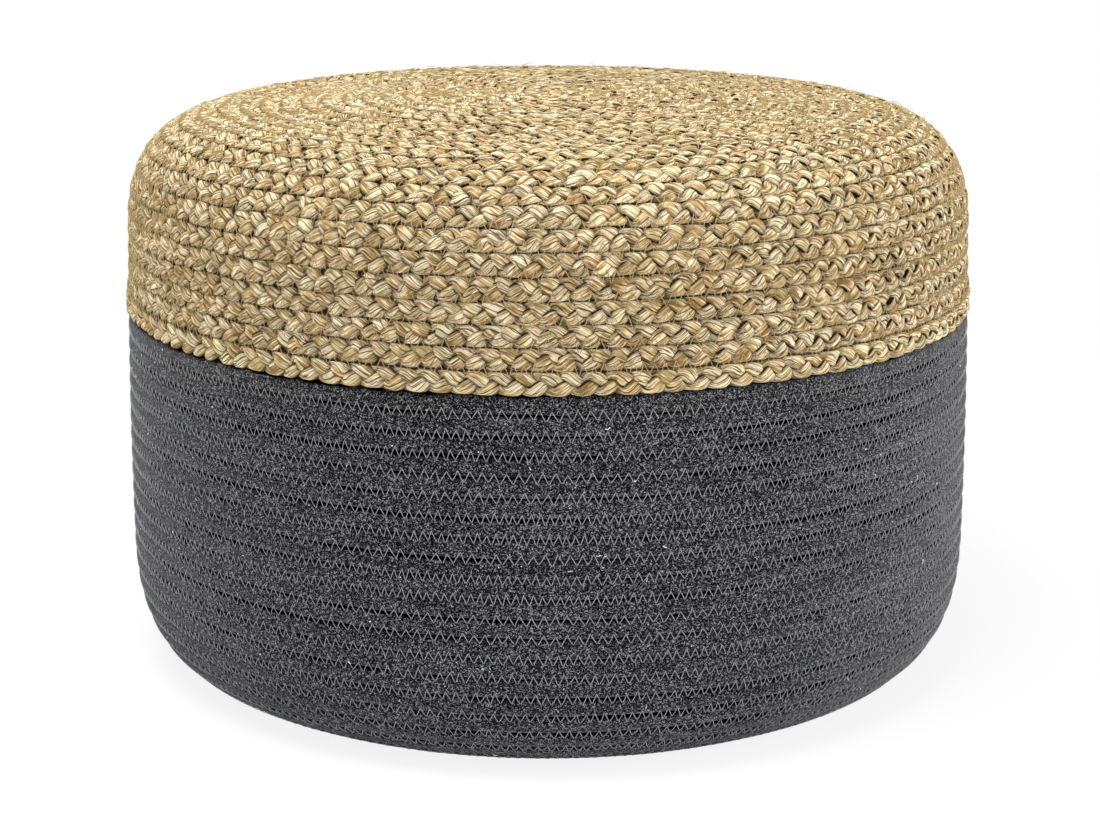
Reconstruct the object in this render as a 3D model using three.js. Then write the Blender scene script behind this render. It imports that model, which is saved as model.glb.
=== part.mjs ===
// A round drum-shaped floor seat: a basket of coiled cotton rope under a cap of coiled straw braid,
// both sewn over a cloth bag that holds a firm core. Millimetres, +Z up, the origin at the middle of
// the base, the front towards -Y.

import * as THREE from 'three';

// Outer outline
const wallTopRadius = 250;
const footFlare = 4;
const wallSwell = 1.1;
const shoulderTopHeight = 330.7;
const crownRise = 5.8;
const shoulderWidth = 79;
const shoulderDrop = 74;
const shoulderPower = 2.7;
const footWidth = 53;
const footRise = 77;
const footPower = 2.6;

// Coiled rope basket
const ropePitch = 11;
const ropeDepth = 10.4;

// Coiled braid cap and its hem course
const hemHeight = 213;
const hemWidth = 12.3;
const hemProud = 1.2;
const braidDepth = 6.4;
const capTurns = 23;
const capEyeRadius = 5.5;

// Cloth bag and core
const clothThickness = 1.2;
const topSeamShare = 0.55;
const floorSeamShare = 0.45;

// Gaps: between neighbouring turns, between separate pieces, and between the hem's two ends
const turnGap = 0.5;
const clearance = 0.3;
const buttGap = 1;

// Facets
const loopSteps = 24;
const coarseRadius = 118;
const coarseStride = 2;
const windingSteps = { corner: 14, crown: 8 };
const linedSteps = { corner: 7, crown: 4 };
const gapSamples = 4;
const nextTurnShares = { from: 0.5, to: 1.1 };

// A turn's section, as shares of its half depth (outwards) and half width (along the outline)
const ropeSectionShares = [[0.8, -0.55], [0.8, 0.55], [0, 1], [-1.2, 0], [0, -1]];
const braidSectionShares = [[1, 0], [0, 1], [-1, 0], [0, -1]];

// The width that the last turn keeps where it ends, and the first turn where it starts
const tailShare = 0.22;
const eyeShare = 0.5;

// How far each coil runs level and steps on at the back, from 0, an even spiral, to 1, and the share
// of a turn that half of that step takes
const ropeLevelShare = 1;
const capLevelShare = 0.15;
const hemLevelShare = 0.9;
const levellingTurns = 4;
const stepShare = 0.16;
const backAngle = Math.PI / 2;

const fullTurn = 2 * Math.PI;
const stepAngle = fullTurn / loopSteps;
const wallFootRadius = wallTopRadius + footFlare;
const footFlatRadius = wallFootRadius - footWidth;
const crownRadius = wallTopRadius - shoulderWidth;
const wallTopHeight = shoulderTopHeight - shoulderDrop;
const hemTop = hemHeight + hemWidth;

// The outline of the outside, from the middle of the base to the middle of the top

function footPoint(share) {
  const angle = share * Math.PI / 2;
  return new THREE.Vector2(
    footFlatRadius + footWidth * Math.sin(angle) ** (2 / footPower),
    footRise * (1 - Math.cos(angle) ** (2 / footPower)),
  );
}

function wallPoint(height) {
  const share = (height - footRise) / (wallTopHeight - footRise);
  const radius = THREE.MathUtils.lerp(wallFootRadius, wallTopRadius, share);
  return new THREE.Vector2(radius + wallSwell * 4 * share * (1 - share), height);
}

function shoulderPoint(share) {
  const angle = share * Math.PI / 2;
  return new THREE.Vector2(
    crownRadius + shoulderWidth * Math.cos(angle) ** (2 / shoulderPower),
    wallTopHeight + shoulderDrop * Math.sin(angle) ** (2 / shoulderPower),
  );
}

function crownPoint(share) {
  return new THREE.Vector2(
    crownRadius * (1 - share),
    shoulderTopHeight + crownRise * (1 - (1 - share) ** 2),
  );
}

const wallHeights = [footRise, (footRise + hemHeight) / 2, hemHeight, hemTop]
  .filter((height) => height < wallTopHeight);

function outline(counts) {
  const shares = (count) => Array.from({ length: count }, (_, i) => i / count);
  return [
    new THREE.Vector2(0, 0),
    ...shares(counts.corner).map(footPoint),
    ...wallHeights.map(wallPoint),
    ...shares(counts.corner).map(shoulderPoint),
    ...shares(counts.crown).map(crownPoint),
    crownPoint(1),
  ];
}

function inwardNormal(points, index) {
  if (index === 0) return new THREE.Vector2(0, 1);
  if (index === points.length - 1) return new THREE.Vector2(0, -1);
  const along = points[index + 1].clone().sub(points[index - 1]).normalize();
  return new THREE.Vector2(-along.y, along.x);
}

// The outline moved inwards by the depth that depthAt gives for each height
function insetOutline(depthAt, counts) {
  const outer = outline(counts);
  const moved = outer.map((point, i) => {
    return point.clone().addScaledVector(inwardNormal(outer, i), depthAt(point.y));
  });
  moved[0].x = 0;
  moved[moved.length - 1].x = 0;
  return moved;
}

// A line of points that is read by the length run along it
class Track {
  constructor(points) {
    this.points = points;
    this.lengths = [0];
    for (let i = 1; i < points.length; i += 1) {
      this.lengths.push(this.lengths[i - 1] + points[i].distanceTo(points[i - 1]));
    }
    this.length = this.lengths[points.length - 1];
  }

  span(length) {
    let i = 1;
    while (i < this.points.length - 1 && this.lengths[i] < length) i += 1;
    return i;
  }

  at(length) {
    const i = this.span(length);
    const share = (length - this.lengths[i - 1]) / (this.lengths[i] - this.lengths[i - 1]);
    return this.points[i - 1].clone().lerp(this.points[i], share);
  }

  outwardAt(length) {
    const reach = ropePitch / 2;
    const before = this.at(Math.max(0, length - reach));
    const after = this.at(Math.min(this.length, length + reach));
    const along = after.sub(before).normalize();
    return new THREE.Vector2(along.y, -along.x);
  }

  // The length at which the line, rising up the wall, first reaches a height
  lengthAtHeight(height) {
    let i = 1;
    while (this.points[i].y < height) i += 1;
    const low = this.points[i - 1];
    const share = (height - low.y) / (this.points[i].y - low.y);
    return THREE.MathUtils.lerp(this.lengths[i - 1], this.lengths[i], share);
  }
}

// One section of a wound tube, square to the axis of the seat
function turnSection(track, length, angle, width, depth) {
  const place = track.at(length);
  const outward = track.outwardAt(length);
  const round = new THREE.Vector3(Math.cos(angle), Math.sin(angle), 0);
  const centre = round.clone().multiplyScalar(place.x).setZ(place.y);
  const out = round.clone().multiplyScalar(outward.x).setZ(outward.y);
  return { centre, out, halfWidth: width / 2, halfDepth: depth / 2 };
}

// A tube end: the section moved straight on along its last stretch, and square to it
function straightEnd(section, neighbour, run) {
  const ahead = section.centre.clone().sub(neighbour.centre).normalize();
  const out = section.out.clone().addScaledVector(ahead, -section.out.dot(ahead)).normalize();
  return { ...section, centre: section.centre.clone().addScaledVector(ahead, run), out };
}

function sectionPoints(sections, index, shares) {
  const before = sections[Math.max(0, index - 1)].centre;
  const after = sections[Math.min(sections.length - 1, index + 1)].centre;
  const ahead = after.clone().sub(before).normalize();
  const { centre, out, halfWidth, halfDepth } = sections[index];
  const across = ahead.cross(out).normalize();
  return shares.map(([outShare, acrossShare]) => centre.clone()
    .addScaledVector(out, outShare * halfDepth)
    .addScaledVector(across, acrossShare * halfWidth));
}

// Skins a run of sections, one unbroken tube with flat ends
function tubeGeometry(sections, shares) {
  const rings = sections.map((section, i) => sectionPoints(sections, i, shares));
  const sides = shares.length;
  const indices = [];
  for (let i = 0; i + 1 < rings.length; i += 1) {
    for (let j = 0; j < sides; j += 1) {
      const a = i * sides + j;
      const b = i * sides + (j + 1) % sides;
      indices.push(a, b, a + sides, b, b + sides, a + sides);
    }
  }
  const last = (rings.length - 1) * sides;
  for (let j = 1; j + 1 < sides; j += 1) {
    indices.push(0, j + 1, j);
    indices.push(last, last + j, last + j + 1);
  }
  const geometry = new THREE.BufferGeometry();
  const flat = rings.flat().flatMap((point) => point.toArray());
  geometry.setAttribute('position', new THREE.Float32BufferAttribute(flat, 3));
  geometry.setIndex(indices);
  geometry.computeVertexNormals();
  return geometry;
}

// Points along every edge line of a tube, each with the turns that it has wound
function surfacePoints(sections, shares) {
  const points = [];
  for (let i = 1; i < sections.length; i += 1) {
    const low = sectionPoints(sections, i - 1, shares);
    const high = sectionPoints(sections, i, shares);
    for (let k = 0; k < gapSamples; k += 1) {
      const share = k / gapSamples;
      const ring = low.map((point, j) => point.clone().lerp(high[j], share));
      const turns = THREE.MathUtils.lerp(sections[i - 1].turns, sections[i].turns, share);
      points.push({ turns, ring });
    }
  }
  return points;
}

// The least distance between points of a tube and the points up to about one turn further on
function leastGap(sections, shares) {
  const rings = surfacePoints(sections, shares);
  let least = Infinity;
  for (let i = 0; i < rings.length; i += 1) {
    for (let k = i + 1; k < rings.length; k += 1) {
      const apart = rings[k].turns - rings[i].turns;
      if (apart > nextTurnShares.to) break;
      if (apart < nextTurnShares.from) continue;
      for (const a of rings[i].ring) {
        for (const b of rings[k].ring) least = Math.min(least, a.distanceTo(b));
      }
    }
  }
  return least;
}

function dressed(name, geometry, look) {
  const mesh = new THREE.Mesh(geometry, new THREE.MeshStandardMaterial(look));
  mesh.name = name;
  return mesh;
}

const strawLook = { color: 0xb3966a, roughness: 0.75, metalness: 0 };
const hemLook = { color: 0xc0a574, roughness: 0.75, metalness: 0 };
const ropeLook = { color: 0x4b4b4d, roughness: 0.95, metalness: 0 };
const clothLook = { color: 0xd9d2c0, roughness: 0.9, metalness: 0 };
const coreLook = { color: 0xe6dfc9, roughness: 0.9, metalness: 0 };

// How many pitches a coil has moved on after some turns from the back
function coilRise(turns, levelShare) {
  const whole = Math.floor(turns);
  const part = turns - whole;
  const fromStep = Math.min(part, 1 - part) / stepShare;
  const half = fromStep < 1 ? (1 - (1 - fromStep) ** 2) / 2 : 0.5;
  const stepped = part < 0.5 ? half : 1 - half;
  return whole + THREE.MathUtils.lerp(part, stepped, levelShare);
}

// The rope basket: one rope that winds up from the edge of the floor to a level rim under the hem

const ropeHalfOut = ropeSectionShares[0][0] * ropeDepth / 2;
const ropeTrack = new Track(insetOutline(() => ropeHalfOut, windingSteps));
const ropeRim = ropeTrack.lengthAtHeight(hemHeight - clearance);
const ropeTurns = Math.round((ropeRim - footFlatRadius) / ropePitch - 0.5);
const ropeFittedPitch = (ropeRim - footFlatRadius) / (ropeTurns + 0.5);

function ropeEdge(turn) {
  const free = footFlatRadius + ropeFittedPitch * coilRise(turn, ropeLevelShare);
  return Math.min(free, ropeRim);
}

function ropeSections() {
  const sections = [];
  for (let step = 0; ; step += 1) {
    const turn = step / loopSteps;
    const low = ropeEdge(turn);
    const high = ropeEdge(turn + 1);
    if (high - low < tailShare * ropeFittedPitch) break;
    const angle = backAngle + step * stepAngle;
    const width = high - low - turnGap;
    const section = turnSection(ropeTrack, (low + high) / 2, angle, width, ropeDepth);
    sections.push({ ...section, turns: turn });
  }
  sections.unshift(straightEnd(sections[0], sections[1], ropeDepth));
  sections.push(straightEnd(sections.at(-1), sections.at(-2), ropeDepth));
  return sections;
}

const ropeRun = ropeSections();
const ropeWall = dressed('rope_wall', tubeGeometry(ropeRun, ropeSectionShares), ropeLook);

// The floor of the basket, whose edge follows the rope's first turn and steps back square to its end
function floorShape() {
  const edge = footFlatRadius + turnGap / 2 - clearance;
  const corner = (step) => {
    const radius = edge + ropeFittedPitch * coilRise(step / loopSteps, ropeLevelShare);
    const angle = backAngle + step * stepAngle;
    return new THREE.Vector2(radius * Math.cos(angle), radius * Math.sin(angle));
  };
  const [end, next] = ropeRun.map(({ centre }) => new THREE.Vector2(centre.x, centre.y));
  const onwards = end.clone().sub(next).normalize();
  const face = end.clone().addScaledVector(onwards, clearance);
  const meetFace = (from, along) => {
    const run = face.clone().sub(from).dot(onwards) / along.dot(onwards);
    return from.clone().addScaledVector(along, run);
  };
  const corners = Array.from({ length: loopSteps }, (_, step) => corner(step));
  const lastChord = corner(loopSteps).sub(corners.at(-1));
  return new THREE.Shape([
    ...corners, meetFace(corners.at(-1), lastChord), meetFace(corners[0], onwards),
  ]);
}

const ropeFloor = dressed(
  'rope_floor',
  new THREE.ExtrudeGeometry(floorShape(), { depth: ropeDepth, bevelEnabled: false }),
  ropeLook,
);

// The braid cap: one braid that winds out from the middle of the top to a level rim above the hem

const capLine = insetOutline(() => braidDepth / 2, windingSteps);
const capTrack = new Track(capLine.toReversed());
const capRim = capTrack.length - new Track(capLine).lengthAtHeight(hemTop + clearance);
const capPitch = (capRim - capEyeRadius) / capTurns;

// The edge between a turn and the next one out; the last few turns run more and more level
function capEdge(turn) {
  const levelling = THREE.MathUtils.smoothstep(turn, capTurns - levellingTurns, capTurns - 1);
  const level = THREE.MathUtils.lerp(capLevelShare, hemLevelShare, levelling);
  return Math.min(capEyeRadius + capPitch * (coilRise(turn, level) + 0.5), capRim);
}

function capSections() {
  const sections = [];
  let step = 0;
  for (;;) {
    const turn = step / loopSteps;
    const inner = capEdge(turn - 1);
    const outer = capEdge(turn);
    if (outer - inner < tailShare * capPitch) break;
    const middle = (inner + outer) / 2;
    const growth = THREE.MathUtils.lerp(eyeShare, 1, Math.min(1, turn));
    const width = (outer - inner - turnGap) * growth;
    const angle = backAngle - step * stepAngle;
    const section = turnSection(capTrack, middle, angle, width, braidDepth);
    section.out.negate();
    sections.push({ ...section, turns: turn });
    step += middle < coarseRadius ? coarseStride : 1;
  }
  sections.unshift(straightEnd(sections[0], sections[1], braidDepth));
  sections.push(straightEnd(sections.at(-1), sections.at(-2), braidDepth));
  return sections;
}

const capRun = capSections();
const braidCap = dressed('braid_cap', tubeGeometry(capRun, braidSectionShares), strawLook);

// The hem: one level course of braid over the joint, its two ends meeting at the back
function hemSections() {
  const track = new Track(insetOutline(() => braidDepth / 2 - hemProud, windingSteps));
  const middle = track.lengthAtHeight(hemHeight + hemWidth / 2);
  const firstAngle = Math.PI / 2 + stepAngle;
  const sections = [];
  for (let i = 0; i < loopSteps; i += 1) {
    const angle = firstAngle + i * stepAngle;
    const width = hemWidth - turnGap;
    sections.push(turnSection(track, middle, angle, width, braidDepth));
  }
  const halfChord = track.at(middle).x * Math.sin(stepAngle / 2);
  const run = halfChord - buttGap / 2;
  const first = straightEnd(sections[0], sections.at(-1), 0);
  const joint = sections[0].centre.clone().add(sections.at(-1).centre).multiplyScalar(0.5);
  const backwards = joint.clone().sub(sections[0].centre).normalize();
  const start = { ...first, centre: sections[0].centre.clone().addScaledVector(backwards, run) };
  const finishOn = sections.at(-1).centre.clone().addScaledVector(backwards, -run);
  sections.push({ ...sections.at(-1), centre: finishOn, out: first.out });
  sections.unshift(start);
  return sections;
}

const hemBraid = dressed(
  'hem_braid', tubeGeometry(hemSections(), braidSectionShares), hemLook,
);

// The cloth bag: a top panel, a side panel and a floor panel, met edge to edge at two seams

const ropeInnerDepth = ropeHalfOut - ropeSectionShares[3][0] * ropeDepth / 2;

// The depth of the space inside the rope, the hem and the braid, at a height on the outside
function spaceDepth(height) {
  const ropeSide = Math.max(ropeInnerDepth, ropeDepth) + clearance;
  const braidSide = braidDepth + clearance;
  const rise = THREE.MathUtils.clamp((height - hemHeight) / hemWidth, 0, 1);
  return THREE.MathUtils.lerp(ropeSide, braidSide, rise);
}

const bagOuter = insetOutline(spaceDepth, linedSteps);
const bagInner = insetOutline((height) => spaceDepth(height) + clothThickness, linedSteps);
const floorSeamIndex = 1 + Math.round(floorSeamShare * linedSteps.corner);
const topSeamIndex = 1 + linedSteps.corner + wallHeights.length +
  Math.round(topSeamShare * linedSteps.corner);

function solidOfTurning(profile) {
  return new THREE.LatheGeometry(profile, loopSteps).rotateX(Math.PI / 2);
}

// The outer and inner lines of a panel between two places on the outline; `drawn` of its first edge
// is left out for the seam
function panelLines(from, to, drawn) {
  return [bagOuter, bagInner].map((line) => {
    const points = line.slice(from, to + 1).map((point) => point.clone());
    const along = points[1].clone().sub(points[0]).normalize();
    points[0].addScaledVector(along, drawn);
    return points;
  });
}

const [floorOuter, floorInner] = panelLines(0, floorSeamIndex, 0);
const floorProfile = [...floorOuter, ...floorInner.reverse()];
const bagFloor = dressed('bag_floor', solidOfTurning(floorProfile), clothLook);

const [sideOuter, sideInner] = panelLines(floorSeamIndex, topSeamIndex, clearance);
const sideProfile = [...sideOuter, ...sideInner.reverse()];
const bagSide = dressed('bag_side', solidOfTurning([...sideProfile, sideProfile[0].clone()]), clothLook);

const [topOuter, topInner] = panelLines(topSeamIndex, bagOuter.length - 1, clearance);
const bagTop = dressed('bag_top', solidOfTurning([...topInner.reverse(), ...topOuter]), clothLook);

// The core fills the bag
const coreDepth = (height) => spaceDepth(height) + clothThickness + clearance;
const coreLine = insetOutline(coreDepth, linedSteps);
const firmCore = dressed('firm_core', solidOfTurning(coreLine), coreLook);

console.log(`rope_wall: ${ropeRun.at(-1).turns.toFixed(2)} turns, least gap to itself ` +
  `${leastGap(ropeRun.slice(1, -1), ropeSectionShares).toFixed(2)} mm`);
console.log(`braid_cap: ${capRun.at(-1).turns.toFixed(2)} turns, least gap to itself ` +
  `${leastGap(capRun.slice(1, -1), braidSectionShares).toFixed(2)} mm`);

const seat = new THREE.Group();
seat.add(braidCap, hemBraid, ropeWall, ropeFloor, bagTop, bagSide, bagFloor, firmCore);

export default seat;
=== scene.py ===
"""Looks of a round floor stool: a coiled cotton rope basket closed by a coiled straw braid cap.

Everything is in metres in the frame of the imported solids: +Z up, the origin at the middle of the
base, the front towards -Y. Lengths in the dataclasses are in millimetres where their name says so.
"""

import logging
import math
from dataclasses import dataclass, field, replace
from enum import Enum, IntEnum
from typing import Callable, ClassVar, Mapping, Optional, Sequence, Union

import bpy
import numpy as np
from bpy.types import ID, ColorRampElements, Material, Mesh, NodeSocket, Object, World
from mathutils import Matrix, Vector


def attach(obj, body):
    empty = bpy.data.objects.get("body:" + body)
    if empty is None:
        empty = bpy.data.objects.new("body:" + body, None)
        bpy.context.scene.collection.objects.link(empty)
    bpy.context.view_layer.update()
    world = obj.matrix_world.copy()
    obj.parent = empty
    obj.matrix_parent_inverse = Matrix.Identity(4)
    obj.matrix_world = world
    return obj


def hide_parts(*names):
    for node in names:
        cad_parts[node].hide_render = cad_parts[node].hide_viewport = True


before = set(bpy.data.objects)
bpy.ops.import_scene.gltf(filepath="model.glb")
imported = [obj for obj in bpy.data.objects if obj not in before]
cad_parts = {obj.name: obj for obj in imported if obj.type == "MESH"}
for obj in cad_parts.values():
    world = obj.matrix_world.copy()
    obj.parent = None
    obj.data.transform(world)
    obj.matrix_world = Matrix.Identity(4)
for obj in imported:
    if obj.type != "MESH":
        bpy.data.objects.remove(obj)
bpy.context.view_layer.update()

log = logging.getLogger("stool")

MM = 0.001
TINY = 1e-9
FULL_TURN = 2 * math.pi
BACK_ANGLE = math.pi / 2
BODY = "root"
BAKE_MAP = "OFBake"
MOST_TRIANGLES = 190_000

WHITE_RAYS = ("Is Camera Ray", "Is Glossy Ray", "Is Transmission Ray")

Array = np.ndarray
Triple = tuple[float, float, float]
Range = tuple[float, float]
Value = Union["Socket", float]


class Slot(Enum):
    """The slots of the record's materials."""

    STRAW = "straw_braid"
    HEM = "hem_braid"
    ROPE = "cotton_rope"
    CLOTH = "bag_cloth"
    FOAM = "core_foam"


class Way(IntEnum):
    """Which way a course runs round the axis, seen from above."""

    CLOCKWISE = -1
    ANTICLOCKWISE = 1


class Edge(IntEnum):
    """A side of a joint, by the way along the track."""

    NEAR = -1
    FAR = 1


# Shader maths

def math_node(operation: str, swapped: bool = False) -> Callable[..., "Socket"]:
    """Makes a method of a socket that adds a Math node.

    Args:
        operation: The node's operation.
        swapped: True where the socket comes second, as in a value less a socket.

    Returns:
        The method, for an operation on the socket alone or with a value or another socket.
    """
    def method(self: "Socket", other: Value = 0.0) -> "Socket":
        """Adds the Math node."""
        first, second = (other, self) if swapped else (self, other)
        return self.shader.node("ShaderNodeMath", {"operation": operation}, {0: first, 1: second})

    return method


class Socket:
    """One output of a shader node, with arithmetic that adds Math nodes."""

    __add__ = math_node("ADD")
    __radd__ = math_node("ADD", swapped=True)
    __sub__ = math_node("SUBTRACT")
    __rsub__ = math_node("SUBTRACT", swapped=True)
    __mul__ = math_node("MULTIPLY")
    __rmul__ = math_node("MULTIPLY", swapped=True)
    sine = math_node("SINE")
    whole = math_node("FLOOR")
    part = math_node("FRACT")
    size = math_node("ABSOLUTE")
    larger = math_node("MAXIMUM")

    def __init__(self, shader: "Shader", output: Optional[NodeSocket]) -> None:
        """Keeps the shader that the output belongs to, and the output."""
        self.shader = shader
        self.output = output

    def centred(self, share: float) -> "Socket":
        """A share of how far this is from a half."""
        return (self - 0.5) * share

    def ramp(self, low: float, high: float, to_low: float = 0.0, to_high: float = 1.0) -> "Socket":
        """Maps a range smoothly onto another and stops at its ends.

        Args:
            low: The value that becomes to_low.
            high: The value that becomes to_high.
            to_low: The result at low and below.
            to_high: The result at high and above.

        Returns:
            The mapped value.
        """
        settings = {"interpolation_type": "SMOOTHSTEP"}
        values = {"Value": self, "From Min": low, "From Max": high, "To Min": to_low, "To Max": to_high}
        return self.shader.node("ShaderNodeMapRange", settings, values)


class Shader:
    """The node tree of a material or of the world, built node by node."""

    def __init__(self, owner: Union[Material, World]) -> None:
        """Starts an empty tree for its owner."""
        self.owner = owner
        owner.use_nodes = True
        self.tree = owner.node_tree
        self.tree.nodes.clear()

    @classmethod
    def named(cls, name: str) -> "Shader":
        """Starts a new material under a name."""
        return cls(bpy.data.materials.new(name))

    def _set(self, target: NodeSocket, value: object) -> None:
        """Links a socket, or writes a number, vector or colour on it."""
        if isinstance(value, Socket):
            self.tree.links.new(value.output, target)
        elif isinstance(value, tuple) and target.type == "RGBA" and len(value) == 3:
            target.default_value = (*value, 1.0)
        else:
            target.default_value = value

    def node(
        self,
        kind: str,
        settings: Mapping[str, object],
        values: Mapping[Union[str, int], object],
        output: Union[str, int] = 0,
    ) -> Socket:
        """Adds a node.

        Args:
            kind: The node's type.
            settings: Its own settings, set first; "stops" are a colour ramp's places and colours.
            values: What its input sockets hold or are linked to, by name or place.
            output: The output that is wanted, by name or place.

        Returns:
            The wanted output, or an empty socket where the node ends the tree.
        """
        made = self.tree.nodes.new(kind)
        for key, value in settings.items():
            if key == "stops":
                self._set_stops(made.color_ramp.elements, value)
            else:
                setattr(made, key, value)
        for key, value in values.items():
            self._set(made.inputs[key], value)
        return Socket(self, made.outputs[output] if made.outputs else None)

    @staticmethod
    def _set_stops(elements: ColorRampElements, stops: Sequence[tuple[float, Triple]]) -> None:
        """Writes a colour ramp's stops."""
        while len(elements) < len(stops):
            elements.new(1.0)
        for element, (place, colour) in zip(elements, stops):
            element.position = place
            element.color = (*colour, 1.0)

    def mix(self, share: Value, first: object, second: object) -> Socket:
        """Mixes two colours, and share is how much of the second is used."""
        return self.node("ShaderNodeMix", {"data_type": "RGBA"}, {0: share, 6: first, 7: second}, 2)

    def ramped(self, value: Socket, *stops: tuple[float, Triple]) -> Socket:
        """Turns a value into a colour by the stops of a colour ramp."""
        return self.node("ShaderNodeValToRGB", {"stops": stops}, {0: value})

    def scaled(self, vector: Socket, by: Triple) -> Socket:
        """Multiplies a vector by another, axis by axis."""
        return self.node("ShaderNodeVectorMath", {"operation": "MULTIPLY"}, {0: vector, 1: by})

    def axis(self, vector: Socket, name: str) -> Socket:
        """Takes one axis of a vector, X, Y or Z."""
        return self.node("ShaderNodeSeparateXYZ", {}, {0: vector}, name)

    def held(self, name: str, output: str = "Fac") -> Socket:
        """Reads an attribute that the mesh holds."""
        return self.node("ShaderNodeAttribute", {"attribute_name": name}, {}, output)

    def place(self) -> Socket:
        """The place on the object, in metres."""
        return self.node("ShaderNodeTexCoord", {}, {}, "Object")

    def whitened(self) -> Socket:
        """Makes 1 for the rays that see a white surround, and 0 for the light on the stool."""
        rays = [self.node("ShaderNodeLightPath", {}, {}, key) for key in WHITE_RAYS]
        return rays[0].larger(rays[1]).larger(rays[2])

    def noise(
        self, at: Socket, scale: float, detail: float = 2.0, rough: float = 0.5, warp: float = 0.0,
    ) -> Socket:
        """Adds a noise texture.

        Args:
            at: Where it is read.
            scale: How many cells there are to a unit.
            detail: How many finer layers it has.
            rough: How strong the finer layers are.
            warp: How far it is distorted.

        Returns:
            The noise from 0 to 1.
        """
        values = {"Vector": at, "Scale": scale, "Detail": detail, "Roughness": rough, "Distortion": warp}
        return self.node("ShaderNodeTexNoise", {}, values)

    def stretched(self, vector: Socket, by: Triple, detail: float = 1.0, rough: float = 0.5) -> Socket:
        """Adds a noise texture whose cells are counted along each axis."""
        return self.noise(self.scaled(vector, by), 1.0, detail, rough)

    def bump(self, height: Socket, distance: float, strength: float = 1.0) -> Socket:
        """Turns a height from 0 to 1 into a normal, for a relief of a distance in metres."""
        values = {"Height": height, "Distance": distance, "Strength": strength}
        return self.node("ShaderNodeBump", {}, values)

    def surface(self, values: Mapping[str, object]) -> Material:
        """Ends the material in a Principled surface with some values, and returns it."""
        return self.ended(self.node("ShaderNodeBsdfPrincipled", {}, values))

    def ended(self, surface: Socket, kind: str = "ShaderNodeOutputMaterial") -> Union[Material, World]:
        """Ends the tree in a surface, and returns its owner."""
        self.node(kind, {}, {"Surface": surface})
        return self.owner


# Finishes

@dataclass(frozen=True)
class StrawFinish:
    """Flat dry straw blades, laid together in a strand, with fine lines along them."""

    slot: Slot
    dull: Triple
    middle: Triple
    pale: Triple
    bright: Triple
    # Painted shade: the colour that the hidden parts of a strand darken towards.
    painted_shade: Triple = (0.022, 0.01, 0.0005)
    # The colour of the dark lines: painted shade between blades, and partly the straw's own dark fibres
    # in the creases.
    line: Triple = (0.06, 0.027, 0.002)
    green: Triple = (0.42, 0.385, 0.155)
    brown: Triple = (0.40, 0.22, 0.085)
    pale_from: Range = (0.38, 0.66)
    blade: float = 1.75 * MM
    drift_blades: float = 3.2
    drift_grain: Triple = (70.0, 90.0, 5.0)
    blade_grain: Range = (42.0, 5.37)
    line_grain: Triple = (120.0, 2000.0, 1.0)
    fleck_grain: Triple = (210.0, 420.0, 3.0)
    hair_grain: Triple = (60.0, 2300.0, 2.0)
    hue_grain: Triple = (14.0, 150.0, 7.0)
    base_light: float = 0.45
    tone_light: float = 0.5
    blade_light: float = 1.8
    line_light: float = 3.3
    fleck_light: float = 1.2
    split_at: Range = (0.72, 0.96)
    split_tones: Range = (0.34, 0.5)
    crease_width: float = 0.05
    crease_tones: Range = (0.45, 0.6)
    green_hues: Range = (0.56, 0.78)
    brown_hues: Range = (0.42, 0.24)
    hue_cover: float = 0.2
    line_cover: float = 0.95
    painted_shade_cover: float = 0.97
    relief_shares: Triple = (0.9, 0.4, 0.4)
    relief: float = 0.9 * MM
    roughness: float = 0.5

    def material(self) -> Material:
        """Builds the material. It reads the fibre and tone attributes of a strand, and the attribute that
        paints shade where the strand is hidden under its neighbours.
        """
        shader = Shader.named(self.slot.value)
        fibre = shader.held("fibre", "Vector")
        along, around, seed = (shader.axis(fibre, name) for name in "XYZ")
        drift = shader.stretched(fibre, self.drift_grain)
        blade_at = around * (1 / self.blade) + drift * self.drift_blades
        edge = (blade_at.part() - 0.5).size() * 2.0
        own_along, own_step = self.blade_grain
        own = {0: along * own_along, 1: blade_at.whole() * own_step, 2: seed}
        blade_tone = shader.noise(shader.node("ShaderNodeCombineXYZ", {}, own), 1.0, 1.0)
        # Painted shade in the gaps at the borders between blades.
        blade_gap_shade = edge.ramp(*self.split_at) * blade_tone.ramp(*self.split_tones)
        lines = shader.stretched(fibre, self.line_grain, 2.0, 0.7)
        fleck = shader.stretched(fibre, self.fleck_grain)
        hair = shader.stretched(fibre, self.hair_grain)
        crease = (hair - 0.5).size().ramp(0.0, self.crease_width, 1.0, 0.0)
        crease = crease * blade_tone.ramp(*self.crease_tones)
        light = shader.held("tone") * self.tone_light + blade_tone.centred(self.blade_light)
        light = light + lines.centred(self.line_light) + fleck.centred(self.fleck_light) + self.base_light
        middle_at, pale_at = self.pale_from
        colour = shader.ramped(
            light, (0.0, self.dull), (middle_at, self.middle), (pale_at, self.pale), (1.0, self.bright))
        hue = shader.stretched(fibre, self.hue_grain)
        colour = shader.mix(hue.ramp(*self.green_hues) * self.hue_cover, colour, self.green)
        colour = shader.mix(hue.ramp(*self.brown_hues) * self.hue_cover, colour, self.brown)
        # Dark lines: painted shade in the gaps between blades, and thin crease lines that are partly the
        # straw's own dark fibres and partly painted shade.
        colour = shader.mix(blade_gap_shade.larger(crease) * self.line_cover, colour, self.line)
        # Painted shade where the strand is hidden under its neighbours.
        colour = shader.mix(shader.held("painted_shade") * self.painted_shade_cover, colour, self.painted_shade)
        blade_share, line_share, crease_share = self.relief_shares
        height = blade_at.part() * blade_share + lines * line_share - crease * crease_share
        return shader.surface({
            "Base Color": colour,
            "Roughness": self.roughness,
            "Specular IOR Level": 0.0,
            "Normal": shader.bump(height, self.relief),
        })


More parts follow.
